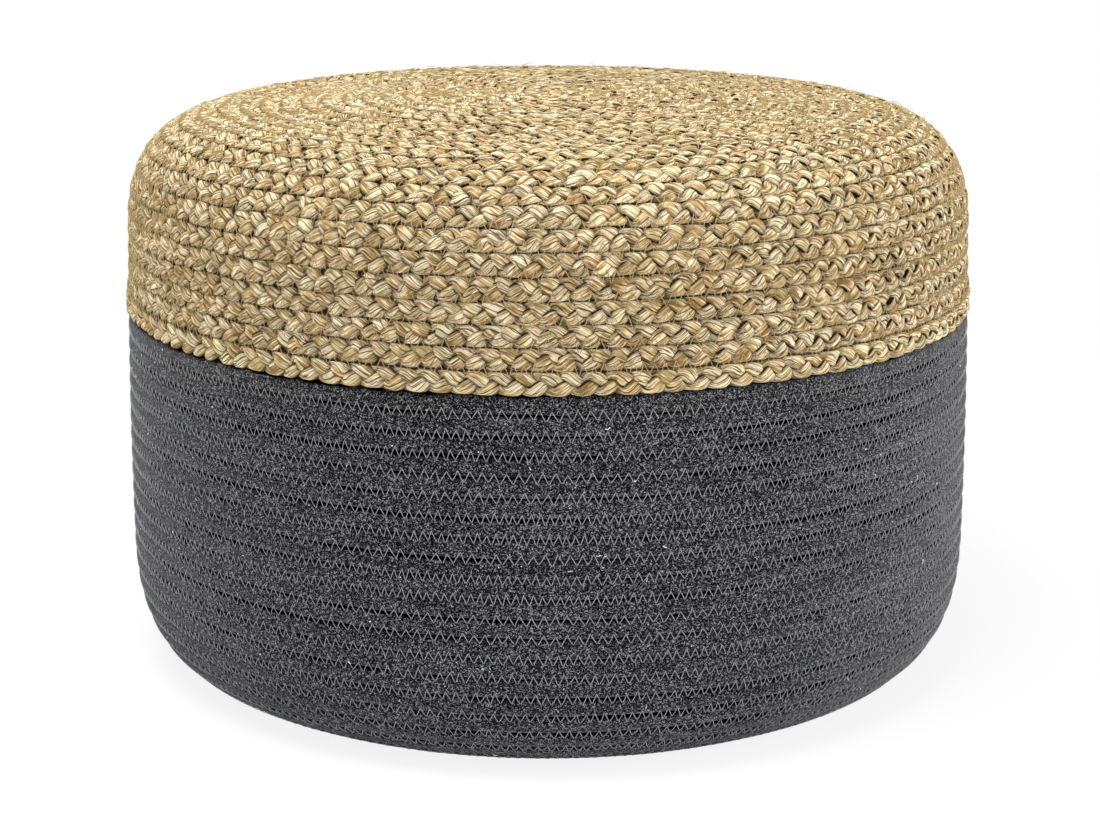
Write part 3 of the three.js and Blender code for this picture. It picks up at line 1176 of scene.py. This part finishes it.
@dataclass
class HemCourse:
    """The level braid that closes the cap over the rope."""

    outline: Outline
    proud_mm: float = 1.2
    periods: int = 43
    map_columns: int = 110
    braid: Braid = field(default_factory=lambda: Braid(half_width_mm=4.1, half_depth_mm=1.85, seed=57))

    def build(self, straw: StrawFinish) -> None:
        """Builds the three strands of the hem."""
        track = Track(self.outline, self.outline.braid_depth_mm / 2 - self.proud_mm, from_top=True)
        winding = LevelWinding(
            track,
            direction=Way.CLOCKWISE,
            start_mm=track.length_at_height(self.outline.hem_top_mm),
            pitch_mm=self.outline.hem_width_mm,
            turns=1.0,
        )
        material = straw.material()
        braid = replace(self.braid, period_mm=winding.length / self.periods)
        for number in range(3):
            rings, values = braid.strand(winding, number, 0.0, winding.length)
            piece = skin(f"hem_strand_{number + 1}", rings, material, values, self.map_columns)
            settle(piece, Slot.HEM, "hem_braid")


# Sewing thread and loose fibres

@dataclass
class Zigzag:
    """A thread that is sewn in a zigzag over the joint between two courses.

    It dips by sunk_mm at its corners and by low_sunk_mm more at those on the low side. Where the
    courses lie level, it lies deeper by level_drop_mm.
    """

    name: str
    period_mm: float
    height_mm: float
    radius_mm: float
    out_mm: float
    jitter: float
    sunk_mm: float = 0.7
    low_sunk_mm: float = 0.0
    low_side: Edge = Edge.NEAR
    shift_mm: float = 0.0
    level_drop_mm: float = 0.0
    corner_reach: float = 0.14
    low_reach: float = 0.4
    bow_mm: float = 0.15
    pace: Drift = Drift(0.2, 50.0, 1)
    place_jitter: float = 0.12
    height_jitter: float = 0.35
    sides: int = 4
    map_columns: int = 400
    seed: int = 5
    leg_shares: tuple[float, ...] = (0.0, 0.14, 0.5, 0.86)

    def build(
        self, winding: Winding, from_turn: float, to_turn: float, material: Material, slot: Slot,
    ) -> None:
        """Sews a stretch of the joints.

        Args:
            winding: The coil whose joints are sewn.
            from_turn: Where the sewing starts.
            to_turn: Where it ends.
            material: The thread's finish.
            slot: The slot that the finish belongs to; it is not used.
        """
        turns = np.linspace(from_turn, to_turn, int((to_turn - from_turn) * winding.per_turn))
        run = runs(winding.track.place(winding.edge(turns), winding.angle(turns), 0 * turns) / MM)
        path, normal = self._path(winding, turns, run)
        for part, start, end in stretches(len(path) - 1, len(path) * self.sides * 2):
            cut = slice(int(start), int(end) + 1)
            rings = thread_rings(path[cut], normal[cut], self.radius_mm * MM, self.sides)
            piece = skin(f"{self.name}_{part}", rings[None], material, rows_of=self.map_columns)
            settle(piece, slot)

    def _path(self, winding: Winding, turns: Array, run: Array) -> tuple[Array, Array]:
        """The thread's middle line, and the way outwards at each of its points."""
        legs = int(run[-1] / (self.period_mm / 2))
        draw = np.random.default_rng(self.seed).uniform(-1, 1, (3, legs + 1))
        corner = np.arange(legs + 1)
        corner_run = np.cumsum(self.pace.factor(corner, self.seed))
        corner_run = (corner_run - corner_run[0]) / (corner_run[-1] - corner_run[0]) * run[-1]
        corner_run = corner_run + draw[0] * self.jitter * self.period_mm * self.place_jitter
        side = np.where(corner % 2 == 0, 1, -1)
        corner_across = side * self.height_mm / 2 * (1 + self.height_jitter * self.jitter * draw[1])
        share = np.array(self.leg_shares)[None]
        run_at = (corner_run[:-1, None] * (1 - share) + corner_run[1:, None] * share).ravel()
        across = (corner_across[:-1, None] * (1 - share) + corner_across[1:, None] * share).ravel()
        at_corner = np.maximum(1 - share / self.corner_reach, 0)
        low = (side == self.low_side)[:, None]
        leaving = np.maximum(1 - share / self.low_reach, 0) * low[:-1]
        coming = np.maximum(1 - (1 - share) / self.low_reach, 0) * low[1:]
        bow = self.bow_mm * np.sin(math.pi * share)
        sunk = self.sunk_mm * at_corner + self.low_sunk_mm * (leaving + coming)
        out = (self.out_mm - sunk + bow).ravel()
        turn = np.interp(run_at, run, turns)
        length = winding.edge(turn) + across + self.shift_mm
        out = out - self.level_drop_mm * winding.track.level(length)
        angle = winding.angle(turn)
        path = winding.track.place(length, angle, out)
        normal = winding.track.place(length, angle, out + 1.0) - path
        path[:, 2] = np.maximum(path[:, 2], self.radius_mm * MM)
        return path, normal / np.linalg.norm(normal, axis=1, keepdims=True)


def thread_rings(path: Array, normal: Array, radius: Union[float, Array], sides: int) -> Array:
    """Puts a ring round every point of one or more paths.

    Args:
        path: Points in metres, with the point before last and the axis last.
        normal: A way outwards at each point.
        radius: The thread's radius in metres, the same all along or one for each point.
        sides: How many sides the thread has.

    Returns:
        The rings' points.
    """
    along = np.gradient(path, axis=-2)
    along /= np.maximum(np.linalg.norm(along, axis=-1, keepdims=True), TINY)
    side = np.cross(along, normal)
    side /= np.maximum(np.linalg.norm(side, axis=-1, keepdims=True), TINY)
    top = np.cross(side, along)
    turn = FULL_TURN * np.arange(sides) / sides
    reach = np.broadcast_to(np.asarray(radius), path.shape[:-1])[..., None, None]
    ring = np.cos(turn)[:, None] * side[..., None, :] + np.sin(turn)[:, None] * top[..., None, :]
    return path[..., None, :] + reach * ring


@dataclass
class Curls:
    """Short curved fibres that lie on a course, each starting at its own place."""

    run_mm: Array
    across: Array
    length_mm: Array
    heading: Array
    bend: Array

    def lie(self, winding: Winding, share: Array, out_mm: Array) -> tuple[Array, Array, Array]:
        """Lays the fibres on a course.

        Args:
            winding: The course.
            share: How far along each fibre its points are, from 0 to 1.
            out_mm: How far out they are.

        Returns:
            The length along the course and the place of each point, and the way outwards there.
        """
        course = self.heading[:, None] + self.bend[:, None] * share
        step = self.length_mm[:, None] / share.size
        run_at = self.run_mm[:, None] + np.cumsum(np.cos(course) * step, 1)
        run_at = np.clip(run_at, 0, winding.length)
        across_at = self.across[:, None] + np.cumsum(np.sin(course) * step, 1) / (winding.pitch_mm / 2)
        path = winding.place(run_at, across_at, out_mm)
        return run_at, path, winding.place(run_at, across_at, out_mm + 1.0) - path


@dataclass
class StrayFibres:
    """Loose ends of straw that stand out of the cap."""

    count: int = 700
    rings: int = 7
    sides: int = 3
    along: Range = (0.02, 0.995)
    along_power: float = 0.8
    reach: float = 0.9
    length_mm: Range = (4.0, 13.0)
    length_shares: Range = (0.6, 1.3)
    heading_spread: float = 0.55
    most_lift: float = 0.34
    lift_power: int = 2
    droop: Range = (1.2, 0.5)
    most_bend: float = 0.9
    foot_mm: float = 2.7
    radius_mm: Range = (0.13, 0.3)
    taper: float = 0.75
    grain_step: float = 0.3 * MM
    tones: Range = (0.3, 1.0)
    seed: int = 71

    def build(self, winding: Winding, material: Material) -> None:
        """Scatters the loose ends over the cap as one piece."""
        rng = np.random.default_rng(self.seed)
        count = self.count
        run = winding.length * rng.uniform(*self.along, count) ** self.along_power
        across = rng.uniform(-self.reach, self.reach, count)
        length = rng.uniform(*self.length_mm, count) * rng.uniform(*self.length_shares, count)
        heading = rng.normal(0, self.heading_spread, count) + math.pi * rng.integers(0, 2, count)
        lift = self.most_lift * rng.uniform(0.0, 1.0, count) ** self.lift_power
        bend = rng.uniform(-self.most_bend, self.most_bend, count)
        share = np.linspace(0, 1, self.rings)[None]
        steep, droop = self.droop
        out = self.foot_mm + length[:, None] * lift[:, None] * share * (steep - droop * share)
        run_at, path, normal = Curls(run, across, length, heading, bend).lie(winding, share, out)
        thick = rng.uniform(*self.radius_mm, count)[:, None] * (1 - self.taper * share) * MM
        rings = thread_rings(path, normal, thick, self.sides)
        tone = rng.uniform(*self.tones, count)[:, None, None]
        shape = rings.shape[:3]
        values = {
            "fibre": np.stack([
                np.broadcast_to(run_at[..., None] * MM, shape),
                np.broadcast_to(np.arange(self.sides) * self.grain_step, shape),
                np.zeros(shape),
            ], -1),
            "tone": np.broadcast_to(tone, shape),
            "painted_shade": np.zeros(shape),
        }
        settle(skin("loose_straw", rings, material, values), Slot.STRAW)


# The rope basket

@dataclass
class RopeBasket:
    """The coiled rope basket: a flat floor and a wall, of one rope."""

    outline: Outline
    rim_gap_mm: float = 0.3
    wall_turns: int = 21
    floor_turns: int = 18
    levelling_turns: float = 4.0
    waver_mm: float = 0.25
    seed: int = 8
    step_mm: float = 2.2
    floor_step_mm: float = 3.6
    around: int = 18
    section_power: float = 3.5
    joint_mm: float = 0.06
    parting_mm: float = 0.5
    parted_share: float = 0.4
    long_parting: Drift = Drift(0.5, 150.0)
    short_parting: Drift = Drift(0.6, 7.0, 1)
    parting_seed: int = 240
    # Where the painted shade in the grooves begins across a course, and how it widens where the turns
    # part.
    groove_from: float = 0.95
    groove_parted: float = 0.22
    groove_width: float = 0.06
    lump_mm: float = 0.25
    lump_waves: tuple[tuple[float, int], ...] = ((26.0, 0), (9.0, 1), (7.0, 2), (5.0, 3))
    lump_seed: int = 200
    lump_drift_seed: int = 220
    lump_base: float = 0.5
    lump_share: float = 0.22
    lump_twist: float = 3.0
    lump_twist_cells: float = 1.7
    lump_narrows: float = 0.02
    crowding: float = 0.4
    map_columns: int = 330
    winding: Winding = field(init=False)

    def __post_init__(self) -> None:
        """Works out how the rope winds."""
        track = Track(self.outline, self.outline.rope_depth_mm / 2)
        rim = track.length_at_height(self.outline.hem_bottom_mm - self.rim_gap_mm)
        start = self.outline.floor_radius_mm
        pitch = (rim - start) / (self.wall_turns + 0.5)
        self.winding = Winding(
            track,
            direction=Way.ANTICLOCKWISE,
            start_mm=start - self.floor_turns * pitch,
            pitch_mm=pitch,
            turns=self.floor_turns + self.wall_turns,
            level=(1.0, 1.0),
            levelling_turns=self.levelling_turns,
            rim_mm=rim,
            waver_mm=self.waver_mm,
            seed=self.seed,
        )

    def build(self, rope: RopeFinish, thread: ThreadFinish) -> None:
        """Builds the rope and the thread that sews it."""
        material = rope.material()
        turned = self.winding.run_at(self.floor_turns)
        self._stretch("rope_floor_coil", 0.0, turned, self.floor_step_mm, material, "rope_floor")
        length = self.winding.length - turned
        for part, start, end in stretches(length, length / self.step_mm * self.around * 2):
            name = f"rope_wall_coil_{part}"
            self._stretch(name, turned + start, turned + end, self.step_mm, material, "rope_wall")
        yarn = thread.material()
        ROPE_ZIGZAG.build(self.winding, self.floor_turns, self.winding.turns, yarn, Slot.ROPE)
        FLOOR_ZIGZAG.build(self.winding, 1.0, self.floor_turns, yarn, Slot.ROPE)

    def _stretch(
        self, name: str, start_mm: float, end_mm: float, step_mm: float, material: Material, node: str,
    ) -> None:
        """Builds a stretch of the rope.

        Args:
            name: The piece's name.
            start_mm: Where the stretch starts along the rope.
            end_mm: Where it ends.
            step_mm: The distance between rings.
            material: The finish.
            node: The solid that the piece stands for.
        """
        run = np.linspace(start_mm, end_mm, int((end_mm - start_mm) / step_mm))
        angle, side, top = section(self.around, self.crowding, self.section_power)
        lumps = self._lumps(run, angle)
        parted = self._parted(run)[:, None]
        joint = self.joint_mm + self.parting_mm * parted
        across = side[None] * (1 - joint / (self.winding.pitch_mm / 2)) * (1 - self.lump_narrows * lumps)
        half = self.outline.rope_depth_mm / 2
        out = top[None] * half - self.lump_mm * lumps * np.clip(top[None], 0, 1)
        rings = self.winding.place(run[:, None] + 0 * across, across, out)[None]
        # Painted shade at the edges of each course, wider where the turns are pulled apart.
        groove_shade = np.abs(across) - self.groove_from + self.groove_parted * parted
        values = {"groove_shade": smooth_share(groove_shade / self.groove_width)[None]}
        settle(skin(name, rings, material, values, self.map_columns), Slot.ROPE, node)

    def _parted(self, run: Array) -> Array:
        """How far the turns are pulled apart, from 0 to 1."""
        seed = self.parting_seed
        parted = self.parted_share + self.long_parting.at(run, seed) + self.short_parting.at(run, seed)
        return np.clip(parted, 0, 1)

    def _lumps(self, run: Array, angle: Array) -> Array:
        """The uneven thickness of the rope, from 0 to about 1."""
        total = np.zeros((len(run), len(angle)))
        for k, (cell, waves) in enumerate(self.lump_waves):
            level = wander(run, cell, self.lump_seed + k)[:, None]
            twist = wander(run, cell * self.lump_twist_cells, self.lump_drift_seed + k)[:, None]
            total = total + level * np.cos(waves * angle[None] + self.lump_twist * twist)
        return np.maximum(self.lump_base + self.lump_share * total, 0)


@dataclass
class Lint:
    """Pale flecks of lint that cling to the rope."""

    count: int = 260
    rings: int = 5
    sides: int = 4
    reach: float = 0.75
    along_power: float = 0.75
    least_mm: float = 0.7
    more_mm: float = 3.2
    length_power: int = 3
    most_bend: float = 2.2
    out_mm: float = 5.2
    bow_mm: float = 0.25
    radius_mm: Range = (0.16, 0.46)
    taper: float = 0.5
    lowest: float = 1.0 * MM
    seed: int = 83

    def build(self, winding: Winding, from_turn: float, material: Material) -> None:
        """Scatters the flecks over the rope wall as one piece."""
        rng = np.random.default_rng(self.seed)
        count = self.count
        start = winding.run_at(from_turn)
        run = start + (winding.length - start) * rng.uniform(0.0, 1.0, count) ** self.along_power
        across = rng.uniform(-self.reach, self.reach, count)
        length = self.least_mm + self.more_mm * rng.uniform(0.0, 1.0, count) ** self.length_power
        heading = rng.uniform(0, FULL_TURN, count)
        bend = rng.uniform(-self.most_bend, self.most_bend, count)
        share = np.linspace(0, 1, self.rings)[None]
        out = self.out_mm + self.bow_mm * np.sin(math.pi * share)
        _, path, normal = Curls(run, across, length, heading, bend).lie(winding, share, out)
        path[..., 2] = np.maximum(path[..., 2], self.lowest)
        thick = rng.uniform(*self.radius_mm, count)[:, None] * (1 - self.taper * share) * MM
        settle(skin("rope_lint", thread_rings(path, normal, thick, self.sides), material), Slot.ROPE)


# What the stool holds inside

@dataclass
class Inside:
    """The cloth bag of three panels, and the firm core that fills it."""

    outline: Outline
    cloth_mm: float = 1.0
    clearance_mm: float = 0.3
    floor_seam_height_mm: float = 12.8
    top_seam_height_mm: float = 316.0
    every: int = 12
    segments: int = 144

    def build(self, cloth: ClothFinish, foam: FoamFinish) -> None:
        """Builds the three panels and the core."""
        material = cloth.material()
        line = self._line(0.0)
        seams = self._seams(line)
        panels = {
            "bag_floor_panel": ("bag_floor", slice(0, seams[0] + 1), True),
            "bag_side_panel": ("bag_side", slice(seams[0], seams[1] + 1), False),
            "bag_top_panel": ("bag_top", slice(seams[1], len(line)), True),
        }
        core = self._core(foam.material())
        for name, (node, part, round_panel) in panels.items():
            piece, flat, area = self._panel(name, part, round_panel, material)
            settle(piece, Slot.CLOTH, node)

    def _line(self, inwards_mm: float) -> Array:
        """The outline moved in to the bag's outer side and further, in millimetres."""
        sizes = self.outline
        points = sizes.points()
        outer = np.concatenate([points[::self.every], [[0.0, points[-1, 1]]]])
        rise = np.clip((outer[:, 1] - sizes.hem_bottom_mm) / sizes.hem_width_mm, 0, 1)[:, None]
        depth = sizes.rope_depth_mm * (1 - rise) + sizes.braid_depth_mm * rise
        moved = outer - outward(outer) * (depth + self.clearance_mm + inwards_mm)
        moved[0, 0] = 0
        moved[-1, 0] = 0
        return moved

    def _seams(self, line: Array) -> tuple[int, int]:
        """Where the floor and top panels meet the side panel, as places on the line."""
        wide = line[:, 0] > self.outline.floor_radius_mm
        low = int(np.argmax(wide & (line[:, 1] > self.floor_seam_height_mm)))
        high = int(np.argmax(wide & (line[:, 1] > self.top_seam_height_mm)))
        return low, high

    def _panel(
        self, name: str, part: slice, round_panel: bool, material: Material,
    ) -> tuple[Object, tuple[float, float], Optional[float]]:
        """Builds one cloth panel.

        Args:
            name: The piece's name.
            part: The stretch of the bag's line that the panel covers.
            round_panel: True for a panel that is cut round, False for the side.
            material: The cloth.

        Returns:
            The piece, the size of its flat cut in metres, and its flat area where that is round.
        """
        outer, inner = self._line(0.0)[part].copy(), self._line(self.cloth_mm)[part].copy()
        for line in () if round_panel else (outer, inner):
            line[0] += self._drawn(line[0], line[1])
            line[-1] += self._drawn(line[-1], line[-2])
        reach = float(runs(outer)[-1]) * MM
        profile = np.concatenate([outer, inner[::-1]])
        piece = turned(name, profile, self.segments, material, round_panel)
        if round_panel:
            return piece, (2 * reach, 2 * reach), math.pi * reach ** 2
        return piece, (FULL_TURN * float(outer[:, 0].max()) * MM, reach), None

    def _drawn(self, end: Array, neighbour: Array) -> Array:
        """How far a side panel's edge stops short of the seam."""
        along = neighbour - end
        return along / np.linalg.norm(along) * self.clearance_mm

    def _core(self, material: Material) -> Object:
        """Builds the firm core."""
        profile = self._line(self.cloth_mm + 2 * self.clearance_mm)
        core = turned("core_body", profile, self.segments, material, True)
        settle(core, Slot.FOAM, "firm_core")
        return core


def turned(
    name: str, profile_mm: Array, segments: int, material: Material, flat_cut: bool,
) -> Object:
    """Turns a closed profile round the axis.

    Args:
        name: The piece's name.
        profile_mm: Radius and height of its points, outer line upwards first.
        segments: How many faces go round.
        material: The finish.
        flat_cut: True where the cloth's threads run straight over the piece, False round it.

    Returns:
        The new object, whose corners hold the place on the flat cloth.
    """
    count = len(profile_mm)
    step = FULL_TURN / segments
    run = runs(profile_mm)
    wide = float(profile_mm[:, 0].max())
    points: list[Triple] = []
    index: dict[tuple[int, int], int] = {}
    for i, (radius, height) in enumerate(profile_mm * MM):
        for j in range(segments):
            if radius < TINY and j:
                index[i, j] = index[i, 0]
                continue
            index[i, j] = len(points)
            points.append((radius * math.cos(j * step), radius * math.sin(j * step), height))
    faces: list[list[int]] = []
    cut: list[Triple] = []
    for i in range(count):
        k = (i + 1) % count
        for j in range(segments):
            face: dict[int, Triple] = {}
            for row, column in ((i, j), (i, j + 1), (k, j + 1), (k, j)):
                corner = index[row, column % segments]
                round_it = (run[row] * MM, column * step * wide * MM, 0.0)
                face.setdefault(corner, points[corner] if flat_cut else round_it)
            if len(face) > 2:
                faces.append(list(face))
                cut.extend(face.values())
    mesh = bpy.data.meshes.new(name)
    mesh.from_pydata(points, [], faces)
    mesh.polygons.foreach_set("use_smooth", np.ones(len(faces), bool))
    layer = mesh.attributes.new("cut", "FLOAT_VECTOR", "CORNER")
    layer.data.foreach_set("vector", np.array(cut, np.float32).ravel())
    mesh.materials.append(material)
    return linked(name, mesh)


# Studio

@dataclass(frozen=True)
class Lamp:
    """A square soft lamp: its name, place, size in metres and power in watts."""

    name: str
    place: Triple
    size: float
    power: float

    def build(self, aim: Triple) -> None:
        """Places the lamp and turns it to a point."""
        data = bpy.data.lights.new(self.name, "AREA")
        data.shape = "SQUARE"
        data.size = self.size
        data.energy = self.power
        lamp = linked(self.name, data)
        lamp.location = self.place
        way = Vector(aim) - Vector(self.place)
        lamp.rotation_euler = way.to_track_quat("-Z", "Y").to_euler()


@dataclass
class Studio:
    """The camera at the photograph's angle, plain soft light, and a plain floor."""

    distance: float = 1.464
    elevation_degrees: float = 14.86
    target: Triple = (0.0011, 0.0, 0.138)
    lens_mm: float = 77.6
    sensor_mm: float = 36.0
    world_strength: float = 0.5
    aim: Triple = (0.0, 0.0, 0.17)
    lamps: tuple[Lamp, ...] = (
        Lamp("top_lamp", (-0.4, -0.5, 2.2), 1.0, 46.0),
        Lamp("right_lamp", (2.5, -1.0, 1.0), 1.1, 37.0),
        Lamp("left_lamp", (-2.4, -0.9, 0.9), 1.1, 7.0),
    )
    floor_size: float = 12.0
    floor_colour: Triple = (0.93, 0.93, 0.93)
    white: Triple = (1.0, 1.0, 1.0)
    shadow_reach: Range = (0.45, 1.0)
    near_white: float = 0.86

    def build(self) -> None:
        """Builds the camera, the world, the lamps and the floor."""
        self._camera()
        self._world()
        for lamp in self.lamps:
            lamp.build(self.aim)
        self._floor()

    def _camera(self) -> None:
        """Places the camera."""
        data = bpy.data.cameras.new("camera")
        data.lens = self.lens_mm
        data.sensor_width = self.sensor_mm
        camera = linked("camera", data)
        rise = math.radians(self.elevation_degrees)
        back = Vector((0.0, -math.cos(rise), math.sin(rise)))
        camera.location = Vector(self.target) + back * self.distance
        camera.rotation_euler = (-back).to_track_quat("-Z", "Y").to_euler()
        bpy.context.scene.camera = camera

    def _world(self) -> None:
        """Makes a white surround that the camera and reflections see at full white."""
        shader = Shader(bpy.data.worlds.new("studio"))
        strength = {0: shader.whitened(), 2: self.world_strength, 3: 1.0}
        values = {"Color": self.white, "Strength": shader.node("ShaderNodeMix", {}, strength)}
        light = shader.node("ShaderNodeBackground", {}, values)
        bpy.context.scene.world = shader.ended(light, "ShaderNodeOutputWorld")
        bpy.context.scene.view_settings.view_transform = "Standard"

    def _floor(self) -> None:
        """Lays the floor, white but for the shadow round the stool."""
        half = self.floor_size / 2
        mesh = bpy.data.meshes.new("floor")
        corners = [(-half, -half, 0), (half, -half, 0), (half, half, 0), (-half, half, 0)]
        mesh.from_pydata(corners, [], [(0, 1, 2, 3)])
        linked("floor", mesh)
        shader = Shader.named("studio_floor")
        lit = shader.node("ShaderNodeBsdfDiffuse", {}, {"Color": self.floor_colour})
        reach = shader.node("ShaderNodeVectorMath", {"operation": "LENGTH"}, {0: shader.place()}, 1)
        far = reach.ramp(*self.shadow_reach, self.near_white, 1.0)
        white = shader.node("ShaderNodeEmission", {}, {"Color": self.white, "Strength": 1.0})
        mixed = {0: shader.whitened() * far, 1: lit, 2: white}
        mesh.materials.append(shader.ended(shader.node("ShaderNodeMixShader", {}, mixed)))


# The stool's own threads and finishes

CAP_ZIGZAG = Zigzag(
    "cap_thread", period_mm=6.2, height_mm=7.6, radius_mm=0.21, out_mm=3.35, jitter=0.9, sunk_mm=0.6,
    low_sunk_mm=0.8, low_side=Edge.FAR, shift_mm=-1.0, level_drop_mm=1.2, seed=31,
)

HEM_ZIGZAG = Zigzag(
    "hem_thread", period_mm=6.0, height_mm=6.8, radius_mm=0.22, out_mm=3.9, jitter=0.8, sunk_mm=0.7,
    low_sunk_mm=0.6, low_side=Edge.FAR, shift_mm=-0.6, seed=37,
)

ROPE_ZIGZAG = Zigzag(
    "rope_thread", period_mm=5.4, height_mm=5.9, radius_mm=0.22, out_mm=5.15, jitter=0.7, sunk_mm=0.2,
    low_sunk_mm=0.65, shift_mm=0.5, seed=41,
)

FLOOR_ZIGZAG = Zigzag(
    "floor_thread", period_mm=5.6, height_mm=5.1, radius_mm=0.19, out_mm=4.8, jitter=0.6, seed=43,
    leg_shares=(0.0, 0.5),
)

STRAW = StrawFinish(
    slot=Slot.STRAW,
    dull=(0.22, 0.135, 0.045),
    middle=(0.44, 0.304, 0.132),
    pale=(0.65, 0.486, 0.26),
    bright=(0.93, 0.8, 0.54),
)

# Painted light: the cap's straw made a little paler, for the proud hem that catches more light.
LIT_HEM_STRAW = StrawFinish(
    slot=Slot.HEM,
    dull=(0.235, 0.146, 0.049),
    middle=(0.46, 0.319, 0.138),
    pale=(0.67, 0.5, 0.265),
    bright=(0.95, 0.82, 0.555),
)

STRAW_THREAD = ThreadFinish("straw_thread", (0.52, 0.39, 0.19), (0.35, 0.25, 0.11))

ROPE_THREAD = ThreadFinish("rope_thread", (0.4, 0.4, 0.415), (0.2, 0.2, 0.21))

LINT = ThreadFinish("lint", (0.85, 0.85, 0.85), (0.6, 0.6, 0.62))


def main() -> None:
    """Builds the stool and the studio in order."""
    logging.basicConfig(level=logging.INFO, format="%(name)s: %(message)s")
    outline = Outline()
    Inside(outline).build(ClothFinish(), FoamFinish())
    basket = RopeBasket(outline)
    basket.build(RopeFinish(), ROPE_THREAD)
    Lint().build(basket.winding, basket.floor_turns, LINT.material())
    cap = StrawCap(outline)
    cap.build(STRAW, STRAW_THREAD)
    StrayFibres().build(cap.winding, bpy.data.materials[STRAW.slot.value])
    HemCourse(outline).build(LIT_HEM_STRAW)
    Studio().build()


if __name__ == "__main__":
    main()
